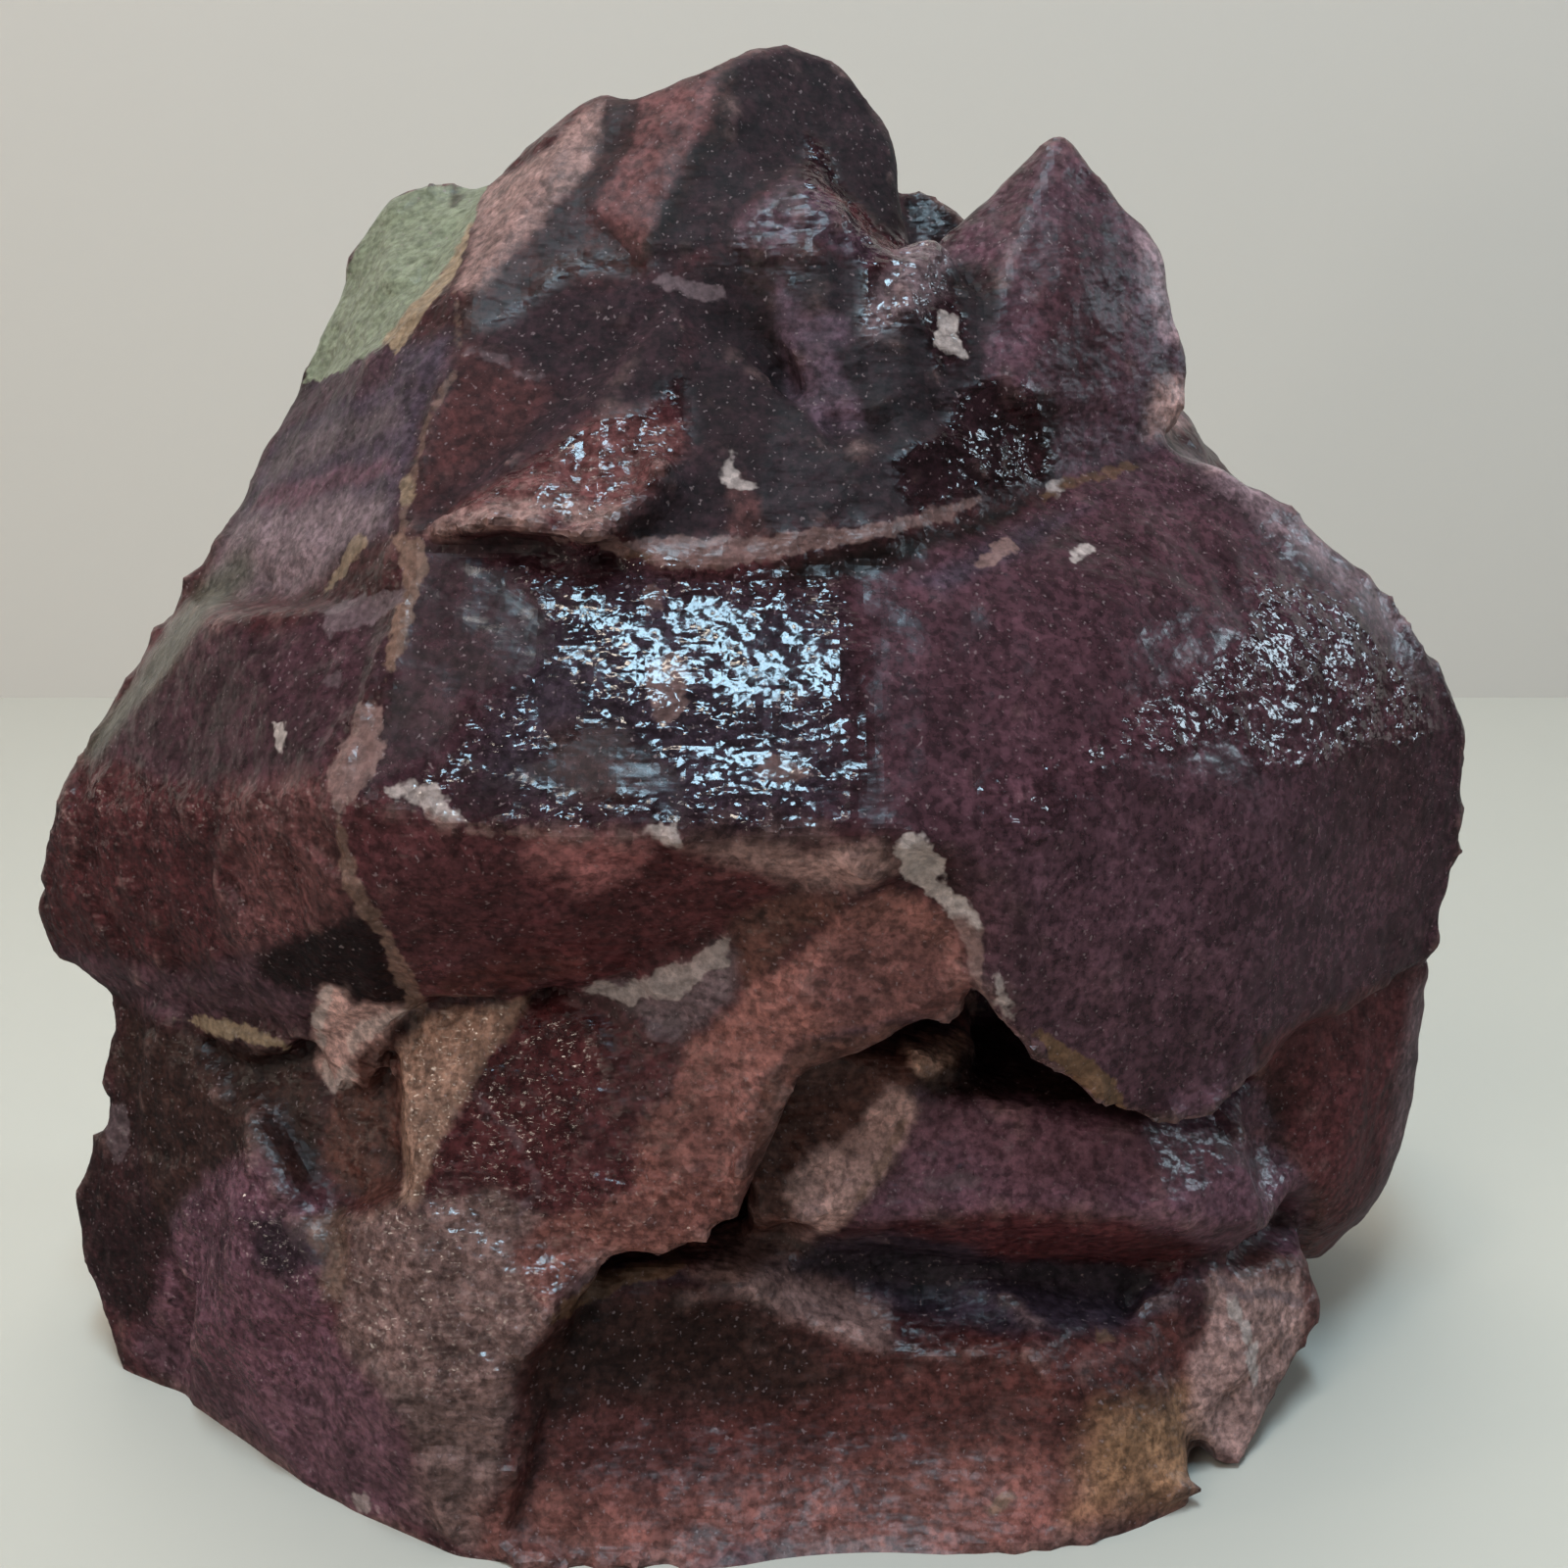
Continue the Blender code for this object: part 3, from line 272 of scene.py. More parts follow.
# Crisp marks: shade, share of the shade, outline in mm
MARKS = [
    ("sage", 1.0, [(-28.7, 138.5), (-30.9, 138.4), (-33.1, 136.8), (-36.1, 137.0), (-40.3, 136.1),
     (-43.3, 132.9), (-45.2, 129.5), (-47.1, 126.3), (-49.7, 121.5), (-50.8, 115.0), (-44.3, 114.5),
     (-39.5, 115.5), (-38.3, 116.6), (-33.3, 121.7), (-31.1, 125.4), (-29.0, 130.7), (-29.1, 134.8)]),
    ("pale_sage", 0.5, [(-40.2, 135.6), (-42.8, 132.8), (-44.7, 129.7), (-46.1, 125.3), (-48.3, 120.6),
     (-49.6, 115.5), (-45.1, 114.9), (-42.1, 120.2), (-41.9, 125.2), (-39.5, 129.7), (-38.1, 134.0)]),
    ("deep_sage", 0.6, [(-35.5, 136.0), (-31.0, 137.7), (-29.1, 134.8), (-29.6, 130.4), (-31.3, 126.2),
     (-33.8, 124.6), (-35.8, 130.2)]),
    ("cream", 0.9, [(-29.1, 133.5), (-29.3, 128.1), (-30.5, 122.6), (-33.6, 118.9), (-36.6, 114.3),
     (-38.9, 116.8), (-35.3, 121.0), (-32.4, 123.6), (-30.8, 128.4), (-30.4, 132.7)]),
    ("tan", 0.45, [(-30.1, 120.7), (-28.7, 115.5), (-28.8, 111.2), (-30.1, 108.7), (-31.9, 105.5),
     (-32.6, 100.5), (-33.2, 97.5), (-33.6, 93.7), (-34.2, 93.7), (-33.9, 97.9), (-33.1, 101.6),
     (-32.4, 105.8), (-30.7, 108.9), (-29.4, 111.5), (-29.5, 115.5)]),
    ("cream", 0.6, [(-34.4, 99.6), (-33.0, 100.7), (-32.6, 98.3), (-33.3, 96.8), (-34.2, 97.5)]),
    ("tan", 0.8, [(-35.1, 94.1), (-31.4, 93.4), (-31.0, 91.0), (-31.6, 88.0), (-32.4, 84.0),
     (-33.5, 80.0), (-34.2, 78.9), (-34.7, 81.8), (-34.0, 85.9), (-33.2, 88.9), (-34.1, 91.9)]),
    ("dusty_pink", 0.75, [(-37.0, 76.4), (-34.9, 76.3), (-34.4, 72.3), (-35.2, 69.4), (-36.8, 67.0),
     (-38.5, 65.2), (-39.5, 66.9), (-40.0, 69.4), (-39.1, 72.3)]),
    ("tan", 0.7, [(-38.4, 65.9), (-37.6, 61.9), (-36.7, 58.8), (-35.6, 56.3), (-34.3, 52.6),
     (-32.9, 47.2), (-32.9, 44.4), (-34.5, 44.3), (-35.1, 48.1), (-36.0, 53.0), (-37.5, 56.2),
     (-38.8, 58.9), (-39.1, 62.6)]),
    ("grey_lilac", 0.7, [(-42.8, 86.5), (-38.2, 87.9), (-33.2, 88.3), (-32.8, 86.8), (-36.3, 85.3),
     (-40.0, 84.3), (-42.4, 83.7)]),
    ("cream", 0.6, [(-39.2, 94.5), (-38.2, 93.4), (-40.7, 90.4), (-43.4, 88.8), (-41.9, 91.6),
     (-40.2, 94.0)]),
    ("dusty_pink", 0.65, [(-19.0, 92.8), (-14.4, 93.0), (-9.7, 92.8), (-0.8, 93.2), (5.1, 93.9),
     (11.1, 94.3), (15.1, 94.9), (24.0, 98.1), (25.9, 99.0), (24.6, 97.2), (21.5, 95.3), (15.3, 93.7),
     (9.1, 92.1), (3.1, 90.9), (-2.9, 89.9), (-4.8, 89.8), (-8.7, 90.5), (-11.7, 91.5), (-15.5, 92.2)]),
    ("ochre", 0.4, [(-14.5, 92.7), (-9.7, 92.7), (-2.8, 92.7), (-5.8, 90.3), (-9.2, 90.6),
     (-12.2, 91.7)]),
    ("chalk", 0.7, [(-1.7, 99.5), (-0.3, 102.6), (0.7, 99.5), (2.1, 98.6), (0.1, 97.9)]),
    ("grey_lilac", 0.8, [(-8.5, 120.8), (-7.3, 122.9), (-6.9, 121.4), (-5.2, 120.9), (-1.6, 121.1),
     (-0.9, 119.9), (-1.6, 118.6), (-5.2, 119.9), (-7.3, 120.0)]),
    ("grey_lilac", 0.5, [(-29.3, 114.0), (-24.3, 113.2), (-22.7, 111.8), (-20.8, 110.7),
     (-20.0, 111.4), (-19.8, 110.5), (-21.3, 110.0), (-23.4, 111.3), (-25.4, 112.5), (-29.2, 113.2)]),
    ("ochre", 0.5, [(42.8, 104.0), (39.3, 102.4), (34.7, 101.2), (32.4, 99.4), (32.6, 98.7),
     (35.8, 100.4), (40.4, 101.6), (43.9, 103.4)]),
    ("chalk", 0.8, [(16.1, 63.6), (17.8, 63.8), (19.1, 62.0), (20.7, 61.0), (20.5, 59.1), (22.0, 57.4),
     (23.6, 56.0), (24.4, 54.4), (23.6, 53.6), (22.0, 54.7), (20.4, 56.7), (18.5, 58.2), (16.3, 59.8),
     (15.5, 61.8)]),
    ("dusty_pink", 0.8, [(21.7, 57.4), (23.3, 56.0), (24.4, 54.2), (24.2, 48.9), (28.1, 42.2),
     (26.9, 41.1), (23.5, 48.8), (23.1, 52.3), (21.6, 55.3)]),
    ("chalk", 0.55, [(-16.4, 46.7), (-14.2, 48.4), (-12.7, 47.4), (-10.1, 48.2), (-8.3, 49.4),
     (-5.0, 50.0), (-1.9, 52.8), (-0.7, 52.6), (-0.9, 50.0), (-4.0, 48.3), (-6.1, 46.2), (-9.1, 46.6),
     (-11.3, 45.3), (-14.4, 46.1)]),
    ("grey_lilac", 0.6, [(-10.0, 43.8), (-7.1, 44.4), (-4.9, 44.1), (-6.1, 41.8), (-8.4, 42.0)]),
    ("chalk", 0.7, [(-8.0, 64.2), (-5.2, 64.9), (-4.9, 62.0), (-6.2, 62.6), (-7.3, 63.7)]),
    ("chalk", 0.65, [(-34.2, 67.8), (-32.1, 68.8), (-29.1, 68.4), (-27.3, 66.3), (-26.1, 64.8),
     (-27.8, 65.0), (-30.0, 66.3), (-32.0, 67.3)]),
    ("dusty_pink", 0.6, [(-30.0, 66.3), (-26.1, 64.8), (-21.3, 64.1), (-13.7, 64.1), (-8.0, 63.9),
     (-8.1, 63.0), (-13.7, 63.4), (-21.3, 63.4), (-26.1, 63.7), (-29.0, 64.8)]),
    ("dusty_pink", 0.5, [(-8.9, 80.0), (-5.6, 81.9), (-4.5, 79.0), (-4.9, 75.1), (-7.3, 74.1),
     (-8.3, 76.5)]),
    ("dusty_pink", 0.45, [(1.3, 71.3), (5.1, 71.1), (7.9, 69.4), (5.1, 68.4), (2.7, 69.4)]),
    ("dusty_pink", 0.4, [(-9.2, 88.1), (-7.5, 88.3), (-7.2, 85.5), (-8.6, 85.2)]),
    ("chalk", 0.8, [(34.7, 92.3), (36.0, 93.2), (37.6, 93.9), (37.7, 93.0), (36.3, 92.1),
     (35.0, 91.6)]),
    ("dusty_pink", 0.75, [(24.2, 91.0), (26.6, 92.9), (27.8, 94.0), (29.1, 92.4), (26.7, 91.1),
     (24.8, 90.3)]),
    ("chalk", 0.75, [(20.3, 115.6), (21.4, 118.2), (22.9, 118.0), (23.0, 115.5), (24.3, 113.4),
     (22.2, 113.5), (20.5, 114.1)]),
    ("chalk", 0.6, [(32.9, 100.0), (34.2, 101.8), (35.1, 100.1), (34.2, 99.2)]),
    ("chalk", 0.9, [(-47.4, 74.8), (-45.7, 74.7), (-45.3, 73.4), (-46.1, 71.8), (-47.2, 73.4)]),
    ("grey_lilac", 0.5, [(-41.5, 79.3), (-39.8, 80.3), (-38.8, 79.0), (-40.2, 78.1), (-41.6, 78.5)]),
    ("tan", 0.55, [(-25.9, 45.1), (-21.9, 45.7), (-23.7, 42.5), (-26.4, 38.8), (-28.8, 35.3),
     (-31.5, 32.2), (-32.2, 28.5), (-33.7, 24.3), (-34.5, 24.2), (-33.3, 28.4), (-32.2, 32.6),
     (-29.5, 36.1), (-27.1, 39.5), (-24.6, 43.1)]),
    ("cream", 0.85, [(-65.2, 41.7), (-60.0, 42.2), (-55.0, 41.5), (-49.9, 40.4), (-49.6, 39.2),
     (-52.5, 39.7), (-56.5, 39.8), (-61.5, 40.4)]),
    ("chalk", 0.6, [(-45.8, 43.1), (-43.9, 46.7), (-42.5, 47.0), (-44.3, 43.2), (-45.9, 38.1),
     (-44.7, 36.0), (-42.7, 38.1), (-41.1, 37.0), (-42.5, 35.5), (-45.0, 34.4), (-46.3, 36.0)]),
    ("chalk", 0.5, [(-42.3, 40.9), (-40.7, 42.9), (-36.9, 44.4), (-34.5, 44.6), (-37.1, 42.8),
     (-40.2, 40.6), (-42.1, 38.9)]),
    ("grey_lilac", 0.35, [(-27.6, 35.4), (-24.6, 33.6), (-22.4, 31.0), (-20.9, 28.4), (-20.4, 27.2),
     (-21.5, 24.7), (-23.0, 22.1), (-23.7, 22.2), (-22.2, 25.1), (-21.6, 27.2), (-22.2, 29.0),
     (-24.3, 32.2), (-26.9, 34.1)]),
    ("ochre", 0.65, [(-19.8, 12.6), (-17.6, 15.3), (-15.8, 16.3), (-12.0, 16.8), (-6.7, 17.2),
     (-5.8, 16.6), (-7.6, 15.5), (-11.8, 14.6), (-15.8, 13.0), (-18.2, 12.5)]),
    ("tan", 0.7, [(18.2, 32.3), (17.3, 29.7), (15.7, 26.9), (13.3, 23.9), (11.4, 21.7), (12.1, 23.7),
     (14.4, 26.7), (16.1, 29.7), (16.9, 32.2)]),
    ("ochre", 0.85, [(29.7, 43.8), (30.8, 44.2), (33.4, 42.0), (36.1, 40.2), (39.3, 37.3),
     (41.1, 34.3), (38.5, 35.2), (36.1, 36.7), (34.2, 38.2)]),
    ("chalk", 0.6, [(25.3, 49.4), (26.0, 49.8), (26.9, 48.1), (28.1, 45.4), (27.6, 44.9),
     (26.2, 46.8)]),
    ("chalk", 0.8, [(54.9, 10.8), (56.6, 9.6), (57.9, 6.9), (59.1, 3.8), (59.4, 0.9), (58.6, -0.8),
     (57.9, 1.4), (57.7, 3.8), (56.5, 7.0), (55.3, 8.9)]),
    ("grey_lilac", 0.6, [(53.6, 12.7), (56.7, 11.2), (62.1, 9.8), (65.8, 8.0), (65.4, 6.7),
     (60.6, 9.1), (56.6, 10.0), (54.0, 11.5)]),
    ("grey_lilac", 0.5, [(53.2, 29.2), (56.8, 27.3), (61.2, 23.7), (60.5, 22.8), (55.7, 25.7),
     (53.1, 27.4)]),
    ("grey_lilac", 0.6, [(56.8, 20.0), (64.5, 16.6), (67.3, 14.6), (65.2, 14.0), (58.6, 17.6)]),
    ("grey_lilac", 0.5, [(19.9, 26.1), (24.1, 27.1), (26.7, 25.8), (24.1, 25.0), (20.9, 24.5)]),
    ("cream", 0.4, [(26.2, -9.3), (28.3, -8.4), (29.8, -7.8), (30.0, -8.3), (27.6, -9.6),
     (26.4, -10.0)]),
    ("grey_lilac", 0.5, [(-78.1, 28.5), (-74.3, 30.4), (-73.4, 27.2), (-73.9, 23.6), (-75.8, 22.6),
     (-77.0, 25.5)]),
    ("chalk", 0.5, [(-42.8, -9.5), (-40.5, -8.7), (-39.3, -10.5), (-40.7, -11.7), (-42.4, -11.2)]),
    ("ochre", 0.5, [(39.6, 8.4), (40.8, 8.4), (41.0, 7.6), (40.0, 7.1), (39.0, 7.7)]),
]

# Skin: how broken up, how rough to the light and how far its grains tilt, outline in mm
SKIN = [
    (0.10, 0.26, 0.05, [(-33, 93), (-15, 92), (-5, 89), (11, 90), (26, 95), (48, 107), (60, 100),
     (72, 92), (81, 82), (87, 74), (87, 60), (86, 54), (86, 46), (74, 45), (62, 42), (55, 41),
     (47, 36), (43, 32), (34, 36), (28, 40), (24, 49), (24, 54), (21, 61), (15, 64), (-6, 64),
     (-23, 64), (-30, 65), (-38, 66), (-34, 79)]),
    (0.08, 0.12, 0.34, [(-24, 91), (-19, 92), (-11, 91), (-3, 90), (11, 90), (12, 84), (12, 78),
     (13, 72), (12, 68), (11, 64), (3, 64), (-4, 64), (-5, 69), (-10, 73), (-15, 74), (-19, 71),
     (-23, 69), (-28, 71), (-26, 76), (-20, 80), (-18, 86)]),
    (0.12, 0.14, 0.42, [(-28, 71), (-23, 69), (-18, 68), (-10, 67), (-4, 64), (-17, 64), (-26, 64),
     (-33, 68)]),
    (0.10, 0.135, 0.34, [(56, 92), (63, 91), (77, 81), (80, 75), (68, 71), (55, 71), (51, 74),
     (37, 70), (35, 65), (30, 62), (24, 63), (24, 68), (38, 75), (50, 81), (56, 85)]),
    (0.20, 0.30, 0.06, [(-41, 88), (-46, 86), (-55, 90), (-63, 92), (-69, 85), (-77, 72), (-69, 70),
     (-58, 68), (-49, 68), (-40, 69), (-40, 72), (-37, 77), (-34, 79), (-34, 83), (-36, 86)]),
    (0.95, 0.28, 0.28, [(-77, 71), (-69, 70), (-58, 68), (-52, 68), (-40, 69), (-38, 65), (-38, 56),
     (-47, 52), (-54, 50), (-63, 48), (-73, 48), (-86, 47), (-87, 57), (-82, 63), (-80, 68)]),
    (0.20, 0.30, 0.10, [(-38, 66), (-29, 65), (-6, 64), (15, 64), (11, 58), (4, 58), (-1, 53),
     (-5, 49), (-16, 49), (-33, 45)]),
    (0.25, 0.32, 0.08, [(56, 40), (62, 42), (74, 45), (87, 46), (89, 31), (87, 21), (83, 9), (73, 5),
     (69, 19), (64, 27), (62, 32)]),
    (0.35, 0.30, 0.14, [(20, 35), (37, 33), (62, 27), (67, 22), (69, 12), (53, 14), (33, 14), (12, 19),
     (14, 24), (18, 30)]),
    (0.35, 0.48, 0.12, [(-50, 115), (-39, 115), (-30, 116), (-30, 109), (-32, 104), (-34, 94),
     (-41, 89), (-60, 91), (-64, 94), (-55, 107)]),
    (0.30, 0.55, 0.12, [(-29, 136), (-21, 139), (-13, 145), (-2, 146), (-1, 143), (-4, 138),
     (-10, 124), (-19, 125), (-24, 120), (-29, 114), (-37, 114), (-31, 122)]),
    (0.45, 0.75, 0.10, [(-2, 146), (5, 150), (9, 151), (17, 145), (19, 138), (19, 129), (13, 132),
     (6, 133), (0, 127), (-0, 125), (-8, 121), (-10, 124)]),
    (0.50, 0.85, 0.10, [(-29, 114), (-20, 120), (-9, 122), (-0, 124), (4, 119), (5, 109), (3, 94),
     (-11, 93), (-11, 106), (-19, 103), (-31, 95), (-33, 94), (-32, 106)]),
    (0.70, 0.70, 0.14, [(4, 119), (10, 124), (27, 121), (27, 112), (35, 110), (35, 101), (24, 98),
     (3, 94)]),
    (0.70, 0.15, 0.40, [(8, 139), (10, 138), (12, 133), (16, 129), (23, 129), (23, 120), (25, 113),
     (20, 112), (18, 117), (13, 115), (14, 123), (10, 128), (7, 131)]),
    (0.70, 0.15, 0.42, [(24, 110), (34, 114), (36, 105), (33, 101), (24, 99), (18, 97), (15, 102),
     (22, 106)]),
    (0.80, 0.17, 0.34, [(-31, 94), (-29, 93), (-26, 94), (-18, 95), (-14, 93), (-13, 94), (-10, 96),
     (-5, 102), (-5, 109), (-6, 111), (-9, 107), (-15, 106), (-19, 102), (-24, 99), (-29, 97)]),
    (0.40, 0.45, 0.14, [(29, 135), (34, 141), (35, 140), (43, 132), (49, 128), (50, 118), (52, 115),
     (53, 110), (49, 107), (40, 103), (35, 101), (34, 110), (27, 112), (29, 121), (23, 123),
     (25, 129)]),
    (0.30, 0.18, 0.30, [(-36, 41), (-34, 44), (-22, 46), (-15, 44), (-15, 36), (-19, 27), (-26, 26),
     (-32, 27), (-34, 24), (-36, 24)]),
    (0.90, 0.17, 0.34, [(-60, 25), (-55, 30), (-51, 23), (-47, 16), (-44, 13), (-43, 8), (-49, 2),
     (-63, 1), (-71, 2), (-70, 10), (-65, 18)]),
    (0.60, 0.20, 0.32, [(-42, 22), (-26, 26), (-11, 30), (1, 28), (-4, 16), (-16, 18), (-20, 13),
     (-24, 3), (-32, 3), (-43, 9)]),
    (0.40, 0.45, 0.16, [(-20, 13), (-8, 15), (-0, 13), (16, 6), (43, 8), (49, 10), (51, -6), (52, -12),
     (37, -12), (26, -16), (-16, -17), (-28, -15), (-25, -3)]),
]

# Clouds of colour under the zones: shade, size in mm, seed, and the swell at which each sets in
CLOUDS = [
    ("plum", 45.0, 71, -0.1), ("dark_wine", 30.0, 72, 0.0),
    ("pink_brown", 38.0, 73, 0.25), ("slate_violet", 34.0, 74, 0.3),
]

# Lights of the room: name, place, target, width and height, power, colour, seen in gloss or not
LIGHTS = [
    ("overhead", (-0.10, 0.14, 1.0), (0.0, 0.14, 0.0), (1.3, 0.40), 8.0, (1.0, 0.96, 0.90), False),
    ("front_fill", (-0.45, -0.75, 0.75), (0.0, 0.0, 0.06), (0.5, 0.5), 3.2, (1.0, 0.94, 0.87), False),
    ("window", (-0.005, -0.30, 0.80), (-0.005, -0.04, 0.09), (0.085, 0.36), 3.3, (0.52, 0.80, 1.0), True),
    ("side_window", (0.85, 0.10, 0.42), (0.04, -0.02, 0.08), (0.12, 0.24), 1.5, (0.68, 0.87, 1.0), True),
    ("warm_spot_1", (-0.12, -0.25, 0.85), (0.0, 0.0, 0.06), (0.07, 0.07), 0.5, (1.0, 0.88, 0.74), True),
    ("warm_spot_2", (-0.80, -0.22, 0.28), (0.0, 0.0, 0.06), (0.07, 0.07), 0.5, (1.0, 0.88, 0.74), True),
    ("warm_spot_3", (-0.55, -0.75, 0.14), (0.0, 0.0, 0.06), (0.07, 0.07), 0.5, (1.0, 0.88, 0.74), True),
]
WORLD_COLOUR = (0.93, 0.92, 0.90, 1.0)
WORLD_STRENGTH = 0.10

# The mineral's body: how clear it is, its index, and what it absorbs
CLEAR_SHARE = 0.25
FLUORITE_IOR = 1.434
BODY_TINT = (0.62, 0.42, 0.50, 1.0)
BODY_DENSITY = 45.0
FLECK_COLOUR = (0.36, 0.26, 0.27, 1.0)

# The relief of the skin: heights and sizes in mm
BROAD_HEIGHT, BROAD_SIZE = 0.55, 24.0
GRAIN_HEIGHT, GRAIN_SIZE = 1.0, 8.5
SMALL_HEIGHT, SMALL_SIZE = 0.5, 3.4
FINE_HEIGHT, FINE_SIZE = 0.09, 2.2
CHIP_DEPTH, CHIP_HEIGHT, CHIP_SIZE = 0.2, 1.3, 4.5
SEAM_DEPTH = 0.5
FOOT_FADE = 3.0
SHELL_FADE = 5.0
SHELL_ROUNDS = 57

# The mesh: the size of its faces, the most of them, and the share of the front that is kept fine
FINE_VOXEL = 0.83 * MM
MOST_TRIANGLES = 192_000
FINE_SHARE = 0.35
PRIMES = np.array([73856093, 19349663, 83492791])


def to_linear(shade):
    """The linear colour of a shade that is given as the eye sees it."""
    return [c / 12.92 if c <= 0.04045 else ((c + 0.055) / 1.055) ** 2.4 for c in shade]


def smoothstep(low, high, value):
    share = np.clip((value - low) / (high - low), 0.0, 1.0)
    return share * share * (3.0 - 2.0 * share)


def shuffled(cells, seed):
    """Three repeatable random numbers from 0 to 1 for each whole-number cell."""
    mixed = (cells.astype(np.int64) * PRIMES).sum(-1) + seed * 7919
    numbers = []
    for _ in range(3):
        mixed = ((mixed ^ (mixed >> 13)) * 1274126177) & 0xFFFFFFFF
        mixed = mixed ^ (mixed >> 16)
        numbers.append(mixed / 2.0 ** 32)
    return np.stack(numbers, -1)


def swells(points, scale, seed, octaves=3):
    """Smooth noise about 0, from -1 to 1, whose largest swells are one scale apart."""
    total = np.zeros(len(points))
    reach = 0.0
    for octave in range(octaves):
        size = scale / 2 ** octave
        spot = points / size + 17.3 * (octave + 1)
        corner = np.floor(spot)
        part = spot - corner
        part = part * part * (3.0 - 2.0 * part)
        value = np.zeros(len(points))
        for step in np.ndindex(2, 2, 2):
            weight = np.prod(np.where(step, part, 1.0 - part), axis=-1)
            value += weight * shuffled(corner + step, seed + octave)[:, 0]
        total += (value * 2.0 - 1.0) / 2 ** octave
        reach += 1.0 / 2 ** octave
    return total / reach * 1.6


def grain_faces(points, scale, seed):
    """Splits space into cells and gives each point the height of its cell's tilted face."""
    spot = points / scale
    corner = np.floor(spot)
    nearest = np.full(len(points), np.inf)
    height = np.zeros(len(points))
    for step in np.ndindex(3, 3, 3):
        cell = corner + step - 1.0
        away = spot - (cell + shuffled(cell, seed))
        distance = (away ** 2).sum(-1)
        tilt = shuffled(cell, seed + 101) * 2.0 - 1.0
        closer = distance < nearest
        height = np.where(closer, (away * tilt).sum(-1), height)
        nearest = np.minimum(nearest, distance)
    return height


def scoops(points, scale, seed):
    """The distance to the nearest cell centre: shell-shaped breaks with sharp rims between."""
    spot = points / scale
    corner = np.floor(spot)
    nearest = np.full(len(points), np.inf)
    for step in np.ndindex(3, 3, 3):
        cell = corner + step - 1.0
        away = spot - (cell + shuffled(cell, seed))
        nearest = np.minimum(nearest, (away ** 2).sum(-1))
    return nearest


def add_object(name, mesh):
    obj = bpy.data.objects.new(name, mesh)
    bpy.context.scene.collection.objects.link(obj)
    return obj


def settle(obj):
    """Makes what an object's modifiers show its own mesh."""
    depsgraph = bpy.context.evaluated_depsgraph_get()
    mesh = bpy.data.meshes.new_from_object(obj.evaluated_get(depsgraph))
    obj.modifiers.clear()
    obj.data = mesh


def read_points(mesh):
    flat = np.empty(len(mesh.vertices) * 3, np.float32)
    mesh.vertices.foreach_get("co", flat)
    return flat.reshape(-1, 3).astype(float)


def read_normals(mesh):
    flat = np.empty(len(mesh.vertices) * 3, np.float32)
    mesh.vertex_normals.foreach_get("vector", flat)
    return flat.reshape(-1, 3).astype(float)


def write_points(mesh, points):
    mesh.vertices.foreach_set("co", points.astype(np.float32).ravel())
    mesh.update()


def read_edges(mesh):
    flat = np.empty(len(mesh.edges) * 2, np.int32)
    mesh.edges.foreach_get("vertices", flat)
    return flat.reshape(-1, 2)


def averaged(values, edges, rounds, count):
    """Each vertex's value blended with its neighbours', over and over."""
    ends = np.concatenate([edges[:, 0], edges[:, 1]])
    others = np.concatenate([edges[:, 1], edges[:, 0]])
    near = np.bincount(ends, minlength=count)[:, None]
    for _ in range(rounds):
        total = np.stack([np.bincount(ends, values[others, k], count) for k in range(values.shape[1])], -1)
        values = 0.5 * values + 0.5 * total / near
    return values


def proud_height(mesh, rounds):
    """How far each vertex stands proud of its surroundings, in mm: below 0 in a hollow."""
    points = read_points(mesh)
    edges = read_edges(mesh)
    level = averaged(points, edges, rounds, len(points))
    return ((points - level) * read_normals(mesh)).sum(-1) / MM


def seen_place(points):
    """Where each point lies as seen from the front and sixteen degrees above, in mm."""
    height = points[:, 2] * math.cos(VIEW_PITCH) + points[:, 1] * math.sin(VIEW_PITCH)
    return np.stack([points[:, 0], height], -1) / MM


def inside_by(place, outline):
    """How far inside an outline each place is, in the outline's unit: below 0 outside it."""
    corners = np.array(outline, float)
    nearest = np.full(len(place), np.inf)
    inside = np.zeros(len(place), bool)
    for start, end in zip(corners, np.roll(corners, -1, axis=0)):
        side = end - start
        away = place - start
        share = np.clip(away @ side / (side @ side), 0.0, 1.0)
        nearest = np.minimum(nearest, ((away - share[:, None] * side) ** 2).sum(-1))
        crosses = (start[1] > place[:, 1]) != (end[1] > place[:, 1])
        if start[1] != end[1]:
            at = start[0] + (place[:, 1] - start[1]) / (end[1] - start[1]) * (end[0] - start[0])
            inside ^= crosses & (place[:, 0] < at)
    distance = np.sqrt(nearest)
    return np.where(inside, distance, -distance)


